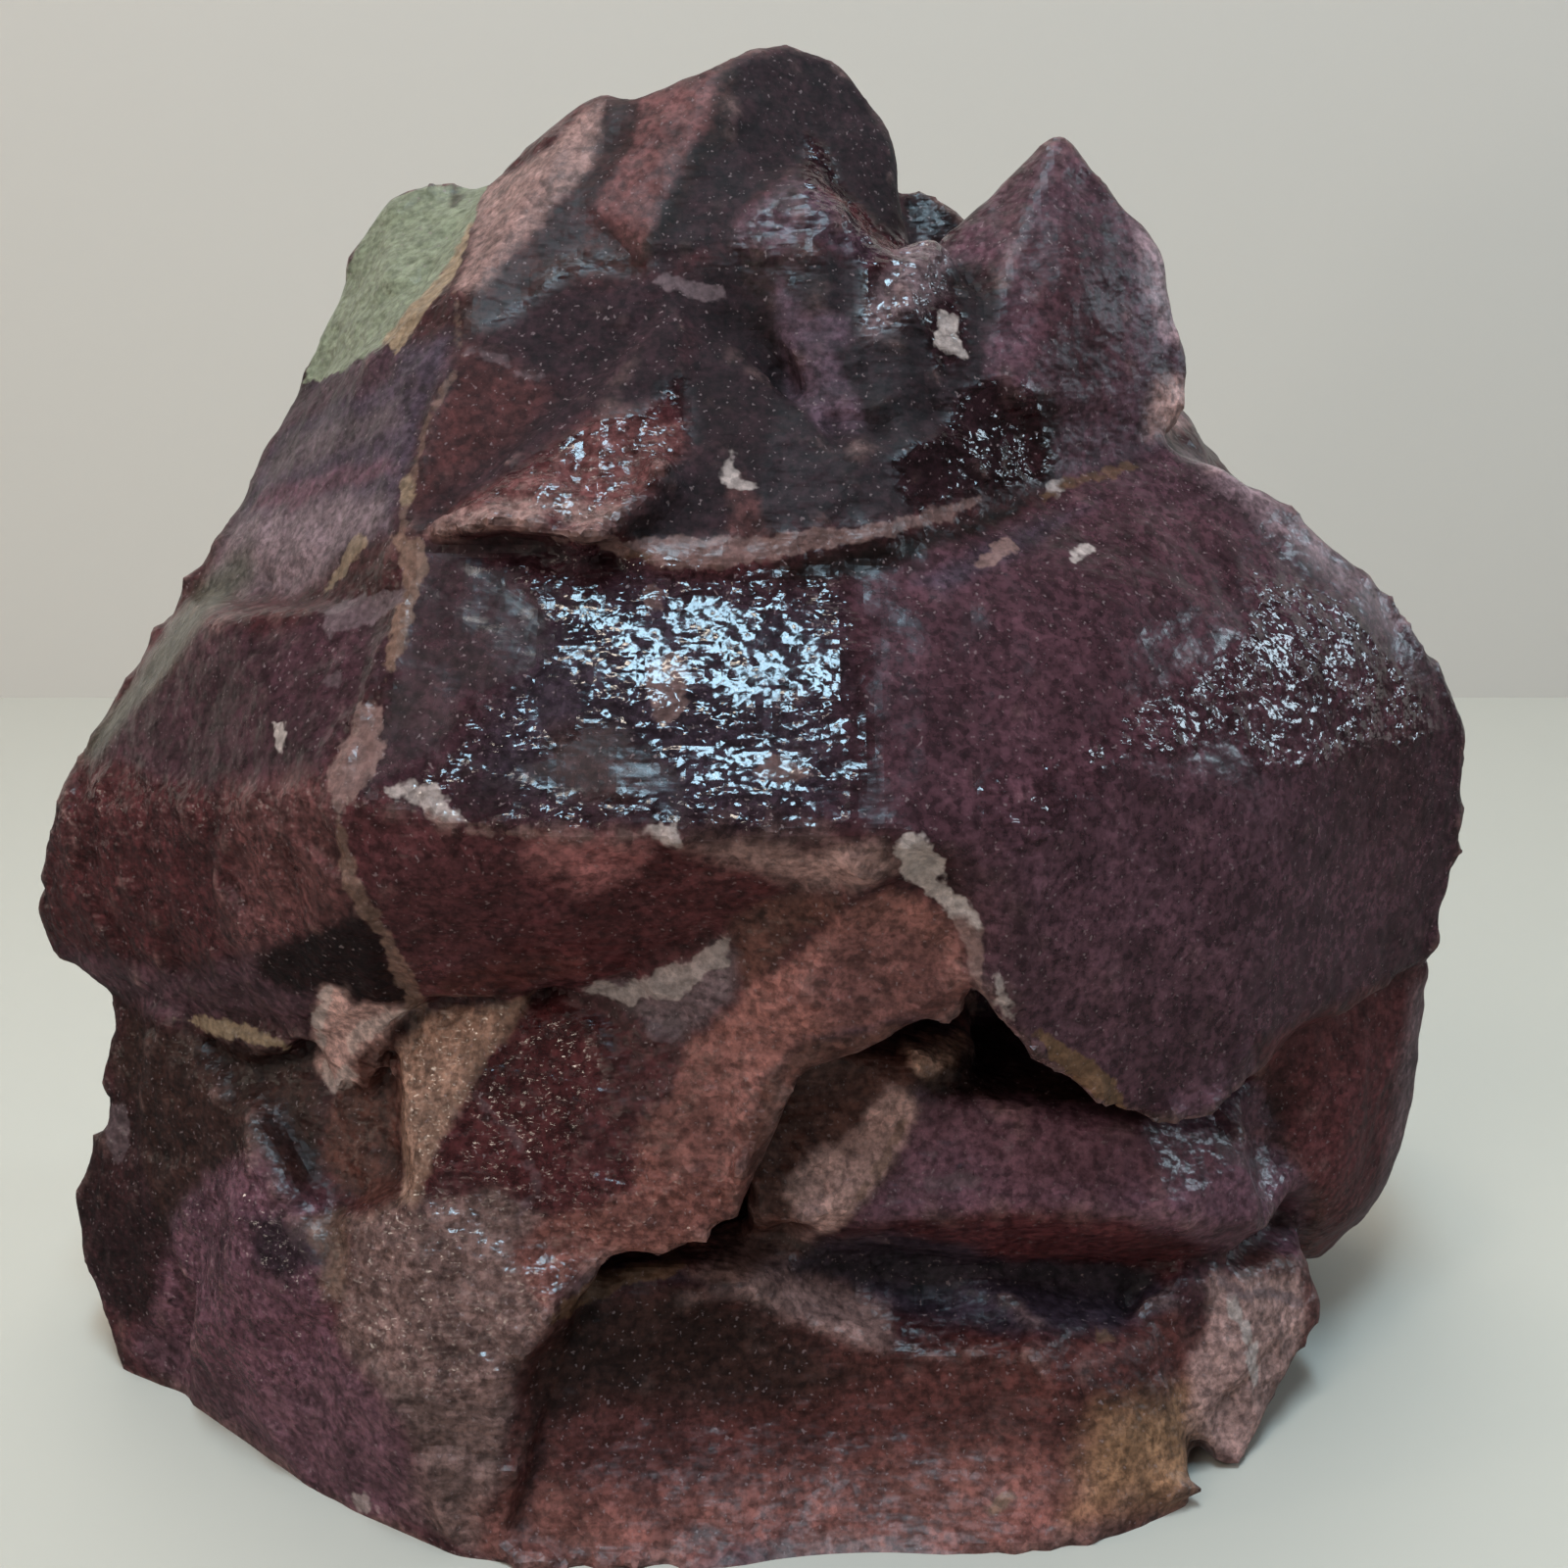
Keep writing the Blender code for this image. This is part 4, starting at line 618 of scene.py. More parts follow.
# The upper mass: a summit, the shoulder left of it, the green corner and the fin
PEAK = [
    (-6.5, 2, 153.5), (0, 8, 155.5), (6, 10, 154), (11.5, 8, 146), (13.5, 2, 134.5),
    (-15, -11, 134.5), (-10.5, -12, 129.5), (-10, -18, 112), (13.5, -14, 114),
    (-3, -10, 134.5), (-10, 14, 150), (-12, 14, 120), (-4, 24, 150), (10, 26, 142),
    (-20, 34, 122), (16, 32, 120), (-14, 30, 100), (16, 30, 100),
]
PINK_FACET = [
    (-6.5, 2, 153.5), (-16, 4, 150), (-22, -5, 138.5), (-15, -11, 134.5),
    (-16, 14, 146), (-6, 16, 150), (-14, 8, 124), (-22, 6, 126),
]
SHOULDER = [
    (-17, 4, 150), (-20, 6, 150.5), (-22, 7, 149), (-28, 8, 143.5), (-33, 9, 140.5),
    (-35, 3, 136), (-38.5, -3, 129), (-43, -7, 123.5), (-34, -12, 128.5),
    (-37.5, -20, 117), (-38.5, -28, 107), (-22, -5, 138.5), (-27, -24, 112),
    (-14, -12, 130), (-14, -18, 112), (-18, 22, 144), (-34, 28, 132), (-40, 20, 105),
    (-10, 20, 105),
]
GREEN_CORNER = [
    (-33.5, 12, 140.5), (-37, 14, 139.5), (-45.5, 15, 138.5), (-49, 15, 133.5),
    (-52, 14, 127), (-55.5, 10, 118.5), (-43, -5, 123.5), (-38.5, -1, 129),
    (-35, 5, 136), (-36, 27, 134), (-48, 27, 128), (-54, 25, 112), (-36, 34, 110),
]
GLINT_LEDGE = [
    (-11, -14, 128.5), (-16, -20, 118), (-23.5, -26, 113), (-32.5, -28, 110.5),
    (-36, -30, 107), (-26, -33, 109), (-19, -33.5, 106.8), (-15.5, -32.5, 107.6),
    (-10, -28.5, 110.5), (-34, -8, 107), (-12, -8, 107), (-12, -2, 124),
    (-30, -6, 116),
]
LILAC_BLADE = [
    (-3, -11, 134.5), (-1, -14, 126.5), (3, -18.5, 118.5), (7, -19, 116),
    (6, -13, 129.5), (4, -12, 135), (-2, 2, 132), (8, 2, 130), (8, -4, 116),
    (0, -4, 118),
]
LILAC_SHELF = [
    (-4.5, -5, 141), (3, -4, 143), (10.5, -9, 133.5), (6, -11, 136),
    (-3, -9, 137), (2, -11, 137), (0, 8, 140), (9, 8, 136), (0, 0, 132),
    (8, 0, 130),
]
MIDDLE_LUMP = [
    (9, -12, 130.5), (13.5, -13, 128.5), (16.5, -15, 121.5), (10, -19, 117.5),
    (17, -6, 135), (12, -6, 134), (22, -10, 126), (21, -14, 119), (4, -9, 129),
    (4, -14, 119), (10, 4, 130), (20, 4, 126), (6, -4, 114), (18, -4, 114),
]
FIN = [
    (30, 4, 146), (36, 4, 139), (42.5, 4, 133), (43, 2, 125.5), (45.5, 2, 119.5),
    (45, 0, 116), (42.5, -2, 113), (29.5, -10, 113), (24, -14, 119.5),
    (20.5, -13, 122.5), (23, -8, 130), (27.5, -3, 136), (31.5, -7, 129),
    (21, 8, 137.5), (16, 2, 133), (31, 13, 143), (40, 16, 130), (41, 18, 110),
    (20, 20, 130), (18, 24, 105),
]
SADDLE = [
    (12, 18, 140), (17, 19, 140.5), (22, 17, 137), (26, 18, 128), (10, 28, 120),
    (26, 26, 112), (10, 10, 118), (24, 8, 118),
]
LIP = [
    (-24, -29, 106.5), (-15.5, -31, 105), (-9.5, -31.5, 104), (0, -30, 104),
    (10, -27, 105.5), (19, -20.5, 107), (27.5, -13, 108.5), (-12, -24, 107.5),
    (-5, -23, 112), (5, -23, 114), (15, -18.5, 116), (24, -14, 114),
    (-22, -4, 106), (10, 0, 106), (26, 2, 110), (-8, 0, 118), (20, 4, 120),
]
LIP_END = [
    (24, -15, 108), (27.5, -13, 108), (35.5, -7, 110.5), (43, -2, 113), (30, -10, 116),
    (22, -14, 116), (24, 4, 110), (40, 8, 112), (24, 2, 118),
]

MIDDLE_FACE = [
    (-11, -14, 127), (-11, -26, 114), (-15, -31, 105), (-6, -30, 105), (4, -28, 106), (4, -21, 116),
    (-4, -15, 124), (-12, -4, 110), (4, -4, 110),
]
LILAC_FACE = [
    (-4, -9, 138), (4, -9.5, 137), (10.5, -8.5, 134), (-3, -13, 127), (5, -18, 118.5),
    (13.5, -13.5, 129), (16, -15.5, 121.5), (12, -19, 116), (0, 2, 138), (12, 2, 134),
    (0, 0, 116), (16, 0, 116),
]
RECESS_BACK = [
    (2, -30, 52), (15, -29, 50), (22, -24, 48), (16, -30, 40), (4, -33, 34), (-4, -30, 30),
    (-4, -30, 44), (-4, -8, 30), (22, -8, 50), (2, -8, 52),
]
KNUCKLE_ROOT = [
    (-68, -14, 46), (-60, -24, 40), (-62, -24, 26), (-70, -18, 16), (-77, -9, 30),
    (-76, -8, 44), (-60, 0, 44), (-66, 0, 14),
]
FIN_ROOT = [
    (16, -13.5, 125), (17, -17, 114), (30, -10.5, 113), (25, -13, 121), (20, -4, 127),
    (20, -4, 110), (30, -2, 112),
]

# The left flank, from the green corner down to the foot that overhangs at the left
UPPER_FLANK = [
    (-55.5, 10, 118.5), (-65, 6, 101.5), (-70, 5, 94.5), (-43, -7, 123.5),
    (-34, -12, 128.5), (-37.5, -20, 117), (-38.5, -28, 107), (-39.5, -32, 99),
    (-56, -12, 95), (-50, 30, 112), (-64, 34, 92), (-34, 20, 120), (-34, 10, 96),
]
LOWER_FLANK = [
    (-70, 5, 94), (-77, 3, 85), (-84, 1, 73.5), (-86, 0, 69), (-39.5, -30, 100),
    (-40, -36, 94), (-43.5, -43, 83), (-62, -15, 96), (-65, -20, 72), (-62, 34, 96),
    (-78, 26, 62), (-40, 10, 96), (-40, -10, 66),
]
FOOT = [
    (-86, 0, 70), (-86, 0, 64), (-91.5, 5, 55), (-91, 6, 49), (-80.5, 0, 45.5),
    (-75.5, -6, 46.5), (-56.5, -28, 61.5), (-41.5, -43, 72.5), (-43.5, -43, 83),
    (-63, -22, 70), (-38.5, -34, 58), (-56, -22, 48.5), (-86, 22, 60),
    (-82, 24, 46), (-46, 10, 44), (-38, -8, 50), (-70, 22, 80),
]
FOOT_RIM = [
    (-69, -13, 47.5), (-55.5, -24, 49.5), (-54, -24, 47.5), (-62, -18, 45.5),
    (-66, -4, 48), (-54, -12, 49),
]

# The great slab across the front, with its glassy face and the band below it
SLAB_LEFT = [
    (-38.5, -28, 107), (-28, -29.5, 105.5), (-10, -30, 103.5), (6, -27.5, 103.8),
    (-35, -36, 95), (-15.5, -39.5, 94), (6, -38.5, 94), (-43.5, -43, 83),
    (-28, -46.5, 81.5), (-15, -48, 81), (6.5, -47.5, 81), (-41.5, -43, 72.5),
    (-38.5, -34, 58), (-21.5, -35, 60.5), (-10, -36, 64), (-1, -39, 70.5),
    (11.5, -44, 78.5), (-40, 0, 105), (6, 0, 103), (-38, 0, 58), (0, 0, 62),
]
SLAB_RIGHT = [
    (4, -27.5, 103.8), (4, -38.5, 94), (19.5, -20.5, 106.5), (42.5, -3, 112.5), (55, -2, 106.5),
    (67.5, 0, 97), (76.5, 2, 86), (81, 4, 77.5), (80.5, 4, 62.5), (78.5, 2, 49),
    (66, -9, 48.5), (58, -18, 49), (52.5, -24, 51.5), (50, -28, 46.5),
    (44, -32, 44.5), (38, -36, 46), (30, -41, 52), (23.5, -44, 58.5),
    (17.5, -47, 67), (17.5, -48, 73.5), (13, -48, 80.5), (6.5, -47.5, 81),
    (20, -34, 95), (34, -27, 99), (34.5, -38, 84), (34, -40, 68), (48, -31, 66),
    (50, -27, 80), (49, -20, 95), (62, -16, 80), (62, -15, 62), (64, -9, 92),
    (52, 16, 104), (75, 22, 84), (73, 20, 52), (20, 4, 105), (20, -10, 56),
    (45, -6, 47),
]

# The bridge that runs from under the slab down to the front, and the recess beside it
BRIDGE_TOP = [
    (18, -41, 60.5), (10, -40, 57.5), (3, -40, 56), (13, -47, 80), (17.5, -46.5, 73),
    (5, -42, 76), (-10, -35, 61), (-20, -33, 59), (0, -40, 51.5), (-6, -38, 48),
    (16, -8, 60), (0, -8, 50), (-20, -8, 56), (8, -8, 74),
]
BRIDGE_FOOT = [
    (3, -40, 56), (0, -40, 51.5), (-4, -41, 46.5), (-4.5, -41, 39), (-10.5, -40, 34.5),
    (-20.5, -41, 32), (-39, -37.5, 37.5), (-27, -33, 56), (-10.5, -34, 55),
    (-20.5, -38, 41), (-18, -31, 62), (0, -8, 52), (-6, -8, 34), (-36, -8, 36),
    (-28, -8, 62),
]
TAN_TRIANGLE = [
    (-41.5, -27, 56), (-27, -33, 59), (-26, -29, 63), (-39, -38, 37.5),
    (-41, -8, 60), (-24, -8, 62), (-34, -8, 36), (-44, -22, 38),
]
SPUR = [
    (-50.5, -26, 58), (-39.5, -34, 59), (-44, -28, 48), (-50, -25, 44.5),
    (-51.5, -25, 50.5), (-48, -14, 56), (-44, -16, 50),
]
SHADED_HOLLOW = [
    (-49.5, -22, 48), (-50.5, -22, 43.5), (-60, -21, 41), (-54, -28, 31),
    (-41.5, -30, 36.5), (-42, -23, 54), (-69, -10, 47), (-70, -12, 34),
    (-42, -4, 54), (-66, 2, 46), (-66, 2, 30), (-42, -4, 34),
]
SPOON = [
    (14, -28, 47.5), (13, -31.5, 39.5), (3, -35, 33), (-2, -30, 31), (2, -20, 40.5),
    (7.5, -20, 45.5), (-4, -28, 28.5), (12, -6, 46), (0, -6, 30), (10, -6, 30),
]
BELLY = [
    (7.5, -28, 44), (14, -28, 45.5), (26.5, -29, 44), (38.5, -28, 41.5),
    (55.5, -20, 36.5), (60, -17, 30.5), (21, -33.5, 34.5), (42.5, -32, 32.5),
    (55.5, -23, 27), (5, -33, 32.5), (11, -29, 29), (33, -26, 24.5), (49, -23, 23),
    (0, -28, 27), (0, -4, 30), (56, 8, 40), (10, -4, 48), (50, -4, 44),
    (20, -4, 20), (60, 8, 14),
]
ROUND_FLANK = [
    (54, -11, 47), (56, -12, 36), (61, -13, 29), (66, -9, 22.5), (71, -4, 36.5),
    (80, 6, 49), (81.5, 9, 36.5), (80.5, 10, 24), (77, 9, 13.5), (67.5, 3, 8),
    (72, 36, 44), (72, 36, 20), (62, 34, 4), (50, 10, 4), (48, 10, 48),
]
SHARD = [
    (39.5, -29, 19), (45.5, -25, 22), (52.5, -23, 21), (62, -14, 18), (63.5, -14, 11),
    (59, -18, 5.5), (55.5, -24, 6.5), (52, -30, 0.6), (49, -31, 1), (45.5, -32, 7),
    (44, -8, 24), (62, -2, 18), (56, -8, -3), (46, -10, -3),
]

# The lower left: two knuckles, the glittering ridge and the tongue in front of them
UPPER_KNUCKLE = [
    (-80, -2, 46), (-82.5, -2, 36), (-81, -4, 31.5), (-67.5, -13, 46), (-66, -15, 33),
    (-80, 18, 44), (-80, 18, 32), (-60, 6, 46), (-60, 6, 32),
]
LOWER_KNUCKLE = [
    (-81, -4, 32), (-84.5, -2, 25.5), (-87.5, -2, 19.5), (-86.5, -4, 12),
    (-83.5, -6, 6.5), (-80.5, -9, -3), (-72, -14, -3), (-74, -13, 26), (-67, -15, 33),
    (-82, 18, 30), (-84, 16, 16), (-78, 20, -3), (-60, 10, -3), (-60, 10, 34),
]
GLITTER_RIDGE = [
    (-59.5, -25, 42), (-60.5, -30, 26), (-69, -22, 11.5), (-72, -14, -3),
    (-61.5, -24, -3), (-49, -36, -3), (-60, -30, 12.5), (-49, -34, 30),
    (-49, -37, 25), (-56, -24, 38), (-62, -4, 44), (-72, -2, -3), (-45, -2, -3),
    (-45, -2, 44),
]
TONGUE = [
    (-52, -30, 31), (-48, -36.5, 26), (-39, -38, 38), (-20.5, -41, 32),
    (-24.5, -43, 30), (-26.5, -46, 22), (-31, -46.5, -3), (-33.5, -46, -3),
    (-49, -36, -3), (-49, -37.5, 20), (-41, -45, 16), (-22, -10, 32),
    (-28, -10, -3), (-50, -10, -3), (-50, -10, 34),
]
POCKET_WALL = [
    (-3, -27, 33), (50, -21, 29), (50, -24, 10), (-3, -29, 14), (-3, 0, 33),
    (50, 0, 29), (50, 0, 10), (-3, 0, 14),
]
SKIRT = [
    (-25, -37, 28), (-10.5, -34, 28.5), (-2, -34, 26), (7.5, -37, 20.5),
    (17, -39, 17.5), (29.5, -38, 17.5), (41.5, -31, 17.5), (44.5, -35, 5),
    (45, -37, -3), (36, -40, 11), (-31, -45.5, -3), (-18.5, -48, -3), (4, -48, -3),
    (26, -45.5, -3), (37, -42, -3), (-30, -4, -3), (50, -4, -3), (-25, -8, 28),
    (40, -4, 16), (10, -8, 26),
]

# The inside and the back, which the blocks in front rest against
CORE = [
    (-60, 0, -3), (-30, -14, -3), (40, -14, -3), (56, 4, -3), (-66, 36, -3),
    (56, 40, -3), (-52, 4, 98), (50, 2, 100), (-30, -10, 60), (2, -10, 60),
    (-46, 36, 96), (46, 34, 92), (-18, 14, 124), (14, 14, 124), (-8, 36, 112),
]
BACK_MASS = [
    (-58, 38, -3), (-30, 50, 10), (24, 52, 8), (54, 40, -3), (-62, 34, 66),
    (-42, 46, 60), (8, 53, 56), (52, 42, 64), (-44, 36, 104), (-14, 44, 101),
    (30, 42, 98), (-60, 10, 20), (58, 10, 20), (-40, 0, 100), (40, 0, 100),
    (-30, 20, -3), (40, 20, -3),
]
BACK_LEFT_FLANK = [
    (-86, 12, 34), (-80, 26, 10), (-58, 42, -3), (-34, 50, 16), (-40, 48, 52),
    (-56, 40, 84), (-66, 30, 90), (-84, 20, 58), (-40, 10, 20), (-40, 10, 80),
]
BACK_LOW_BOSS = [
    (-42, 46, -3), (-26, 54, 12), (-12, 57, 30), (10, 55, 22), (20, 50, -3),
    (-30, 50, 44), (-2, 54, 50), (-30, 20, -3), (10, 20, 50), (10, 20, -3),
]
BACK_RIGHT_FLANK = [
    (26, 52, 4), (62, 38, -3), (79, 24, 26), (78, 22, 78), (60, 32, 98),
    (36, 46, 92), (26, 54, 66), (34, 55, 36), (30, 10, 10), (30, 10, 90),
    (70, 10, 60),
]
BACK_HIGH_SLOPE = [
    (-46, 36, 106), (-34, 44, 88), (-6, 52, 76), (20, 49, 88), (34, 40, 108),
    (10, 36, 128), (-22, 36, 124), (-30, 10, 90), (30, 10, 90), (0, 10, 120),
]
RIGHT_SHOULDER = [
    (16, 0, 104), (50, 4, 107), (46, 16, 116), (62, 20, 98), (20, 24, 122),
    (18, 36, 108), (58, 34, 94), (10, 6, 112), (40, 2, 114), (20, 10, 92),
]
LEFT_SHOULDER = [
    (-54, 20, 116), (-63, 26, 100), (-40, 30, 128), (-20, 34, 130), (-26, 42, 108),
    (-58, 36, 88), (-30, 10, 96), (-20, 10, 122), (-44, 8, 112),
]
BACK_CREST = [
    (-30, 33, 126), (-12, 31, 137), (-4, 29, 144), (12, 27, 139), (24, 33, 118),
    (4, 46, 106), (-22, 44, 106), (26, 40, 102), (0, 10, 100), (0, 10, 140),
    (-20, 14, 120),
]

BLOCKS = [
    MIDDLE_FACE, LILAC_FACE, FIN_ROOT, RECESS_BACK, KNUCKLE_ROOT, PEAK, PINK_FACET, SHOULDER,
    GREEN_CORNER, GLINT_LEDGE, LILAC_BLADE, LILAC_SHELF, MIDDLE_LUMP, FIN, SADDLE, LIP, LIP_END,
    UPPER_FLANK, LOWER_FLANK, FOOT, FOOT_RIM, SLAB_LEFT, SLAB_RIGHT, BRIDGE_TOP, BRIDGE_FOOT,
    TAN_TRIANGLE, SPUR, SHADED_HOLLOW, SPOON, BELLY, ROUND_FLANK, SHARD, UPPER_KNUCKLE,
    LOWER_KNUCKLE, GLITTER_RIDGE, TONGUE, POCKET_WALL, SKIRT, CORE, BACK_MASS, BACK_LEFT_FLANK,
    BACK_LOW_BOSS, BACK_RIGHT_FLANK, BACK_HIGH_SLOPE, RIGHT_SHOULDER, LEFT_SHOULDER, BACK_CREST,
]

# Shell-shaped hollows: centre, radii and tilt of the ellipsoid that leaves each, and the way in
HOLLOWS = [
    ((6, -49, 15), (36, 13, 19), (-28, 4, 0), (0, 1, 0)),
    ((14, -36, 24), (16, 10, 5), (0, 8, 0), (0, 1, 0)),
    ((9, -51, 62), (13, 9.5, 22), (0, 32, 0), (0, 1, 0)),
    ((-20, 64, 72), (24, 15, 22), (0, 24, 8), (0, -1, 0)),
    ((34, 62, 16), (20, 12, 17), (20, 0, -12), (0, -1, 0)),
    ((-22, -48, 51), (17, 10, 13), (0, 30, 0), (0, 1, 0)),
    ((62, -22, 38), (9, 13, 13), (0, 10, 20), (-0.6, 0.8, 0)),
]

# Chipped edges: how many crumbs, their largest size, and the edge's corners
CHIPPED_EDGES = [
    (34, 2.6, [(-21, -34, 60), (-10, -37, 63), (-1, -41, 71), (5, -45, 78), (11, -47.5, 81)]),
    (60, 2.2, [(13, -48, 80.5), (17.5, -48, 73.5), (17.5, -47, 67), (23.5, -44, 58.5), (30, -41, 52),
               (38, -36, 46), (44, -32, 44.5), (50, -28, 46.5)]),
    (40, 1.8, [(-43.5, -43, 83), (-28, -46.5, 81.5), (-15, -48, 81), (6.5, -47.5, 81)]),
    (80, 2.6, [(18, -41, 60.5), (10, -40, 57.5), (3, -40, 56), (0, -40, 51.5), (-4, -41, 46.5),
               (-4.5, -41, 39), (-10.5, -40, 34.5), (-20.5, -41, 32), (-24.5, -43, 30),
               (-26.5, -46, 22), (-31, -46.5, 0)]),
    (46, 1.6, [(-24, -30, 106.5), (-15.5, -31, 105), (-9.5, -31.5, 104), (0, -30, 104),
               (10, -27, 105.5), (19, -20.5, 107), (27.5, -13, 108.5)]),
    (40, 2.4, [(-11, -27, 114), (-15.5, -32, 109), (-19, -34, 107.5), (-26, -34, 110),
               (-36, -30, 107)]),
    (50, 2.2, [(-80.5, 0, 45.5), (-69, -13, 47.5), (-55.5, -24, 49.5), (-41.5, -35, 60)]),
    (24, 1.8, [(-50.5, -26, 58), (-39.5, -34, 59), (-44, -28, 48), (-50, -25, 44.5)]),
    (24, 1.6, [(30, 4, 146), (36, 4, 139), (42.5, 4, 133), (43, 2, 125.5), (45.5, 2, 119.5)]),
    (30, 2.2, [(39.5, -29, 19), (45.5, -25, 22), (52.5, -23, 21), (63.5, -14, 11),
               (55.5, -24, 6.5), (52, -30, 1)]),
    (60, 2.4, [(-31, -46.5, 0.5), (-18.5, -48, 0.5), (4, -48, 0.5), (26, -45.5, 0.5),
               (37, -42, 0.5), (45, -37, 3)]),
    (30, 2.0, [(-33.5, 12, 140.5), (-45.5, 15, 138.5), (-49, 15, 133.5), (-52, 14, 127),
               (-55.5, 10, 118.5)]),
    (60, 1.8, [(42.5, -2, 112), (55, -2, 106.5), (67.5, 0, 97), (76.5, 2, 86), (81, 4, 77.5),
               (80.5, 4, 62.5), (78.5, 2, 49), (66, -9, 48.5)]),
    (50, 2.2, [(-43, -7, 123.5), (-56, -8, 100), (-65, 5, 101.5), (-77, 3, 85), (-86, 0, 69),
               (-91.5, 5, 55)]),
    (40, 2.2, [(-82.5, -2, 36), (-84.5, -2, 25.5), (-87.5, -2, 19.5), (-83.5, -6, 6.5),
               (-72, -14, 0), (-49, -36, 0)]),
]
# Iron-stained seams, as routes in mm on the seen faces
SEAMS = [
    [(-29, 119), (-33, 106), (-33.5, 94), (-35, 79), (-38, 67), (-36.5, 57), (-34.5, 45), (-35, 36)],
    [(-35, 45), (-50, 42), (-64, 41)],
]

# Faces that broke as one smooth shell, as outlines in mm
SHELLS = [
    [(13, 91), (24, 95), (48, 106), (60, 100), (72, 92), (81, 82), (85, 74), (85, 60), (84, 46), (75, 45),
     (57, 42), (49, 36), (45, 33), (34, 38), (28, 42), (23, 56), (13, 64)],
    [(-33, 92), (12, 90), (12, 66), (-10, 65), (-36, 68)],
    [(56, 42), (75, 45), (88, 46), (90, 36), (87, 25), (84, 12), (72, 5), (62, 20)],
    [(-19, 14), (3, 13), (22, 3), (47, 7), (50, -12), (0, -15), (-24, -12)],
]

# What moves the blocks to the solid's own frame, in mm
STONE_SHIFT = Vector((4.8936, -4.2695, 0.0))


def add_block(rough, corners):
    """Adds the convex block that spans these corners, in mm, to the rough bmesh."""
    points = [rough.verts.new((Vector(corner) + STONE_SHIFT) * MM) for corner in corners]
    made = bmesh.ops.convex_hull(rough, input=points)
    loose = {v for v in made["geom_interior"] if isinstance(v, bmesh.types.BMVert)}
    bmesh.ops.delete(rough, geom=list(loose), context="VERTS")


def add_crumbs(rough, count, size, route, draw):
    """Strews small angular crumbs along an edge, half sunk in it."""
    corners = [Vector(corner) for corner in route]
    for _ in range(count):
        leg = draw.randrange(len(corners) - 1)
        middle = corners[leg].lerp(corners[leg + 1], draw.random())
        middle += Vector([draw.uniform(-0.9, 0.9) for _ in range(3)])
        reach = size * draw.uniform(0.35, 1.0)
        stretch = [draw.uniform(0.4, 1.0) * reach for _ in range(3)]
        add_block(rough, [[middle[k] + draw.uniform(-1, 1) * stretch[k] for k in range(3)] for _ in range(9)])


def rough_stone():
    """The blocks and crumbs that the stone is fused from."""
    draw = random.Random(7)
    rough = bmesh.new()
    for corners in BLOCKS:
        add_block(rough, corners)
    for count, size, route in CHIPPED_EDGES:
        add_crumbs(rough, count, size, route, draw)
    mesh = bpy.data.meshes.new("fluorite_stone")
    rough.to_mesh(mesh)
    rough.free()
    return add_object("fluorite_stone", mesh)


def fuse(stone):
    """Gives the stone one closed skin of small even faces."""
    remesh = stone.modifiers.new("fuse", "REMESH")
    remesh.mode = "VOXEL"
    remesh.voxel_size = FINE_VOXEL
    settle(stone)


def press_hollow(points, centre, radii, tilt, way):
    """Presses what lies inside an ellipsoid back to its far side."""
    turn = np.array(Euler([math.radians(angle) for angle in tilt]).to_matrix())
    spot = ((points / MM - np.array(centre) - np.array(STONE_SHIFT)) @ turn) / np.array(radii)
    step = (np.array(Vector(way).normalized()) @ turn) / np.array(radii)
    along = spot @ step
    length = step @ step
    under = along ** 2 - length * ((spot ** 2).sum(-1) - 1.0)
    far = (-along + np.sqrt(np.maximum(under, 0.0))) / length
    inside = ((spot ** 2).sum(-1) < 1.0) & (far > 0.0)
    return points + np.where(inside, far, 0.0)[:, None] * np.array(Vector(way).normalized()) * MM


def relief(points, normals, mesh):
    """How far each point rises from the blocks' plain faces, in mm."""
    spots = points / MM
    bent = spots + 2.0 * np.stack([swells(spots, 14.0, seed, 2) for seed in (3, 4, 5)], -1)
    rough = skin_at(points, normals)[0]
    rise = BROAD_HEIGHT * swells(spots, BROAD_SIZE, 11)
    rise += rough * GRAIN_HEIGHT * grain_faces(bent, GRAIN_SIZE, 31)
    rise += rough * SMALL_HEIGHT * grain_faces(bent, SMALL_SIZE, 41)
    edge = smoothstep(0.10, 0.45, proud_height(mesh, 8))
    rise -= edge * (CHIP_DEPTH + CHIP_HEIGHT * scoops(bent, CHIP_SIZE, 21))
    rise += FINE_HEIGHT * swells(spots, FINE_SIZE, 51, 1)
    rise -= SEAM_DEPTH * seam_share(points, normals)
    return rise


def seam_share(points, normals):
    """1 along the iron-stained seams, where the stone has weathered to a groove."""
    place = seen_place(points)
    drift = swells(points / MM, 5.0, 63)
    place = place + np.stack([drift, -drift], -1) * 0.6
    nearest = np.full(len(points), np.inf)
    for route in SEAMS:
        corners = np.array(route, float)
        for start, end in zip(corners[:-1], corners[1:]):
            side = end - start
            away = place - start
            share = np.clip(away @ side / (side @ side), 0.0, 1.0)
            nearest = np.minimum(nearest, ((away - share[:, None] * side) ** 2).sum(-1))
    return smoothstep(1.1, 0.4, np.sqrt(nearest)) * front_weight(points, normals)


def skin_at(points, normals):
    """How broken up the stone is at each point, how rough to the light, and how its grains tilt."""
    spots = points / MM
    place = seen_place(points)
    place = place + np.stack([swells(spots, 7.0, seed) * 1.5 for seed in (101, 102)], -1)
    front = front_weight(points, normals)
    skin = np.tile((0.7, 0.38, 0.20), (len(points), 1))
    for broken, rough, tilt, outline in SKIN:
        share = smoothstep(-1.2, 1.2, inside_by(place, outline)) * front
        skin += (np.array((broken, rough, tilt)) - skin) * share[:, None]
    return skin.T


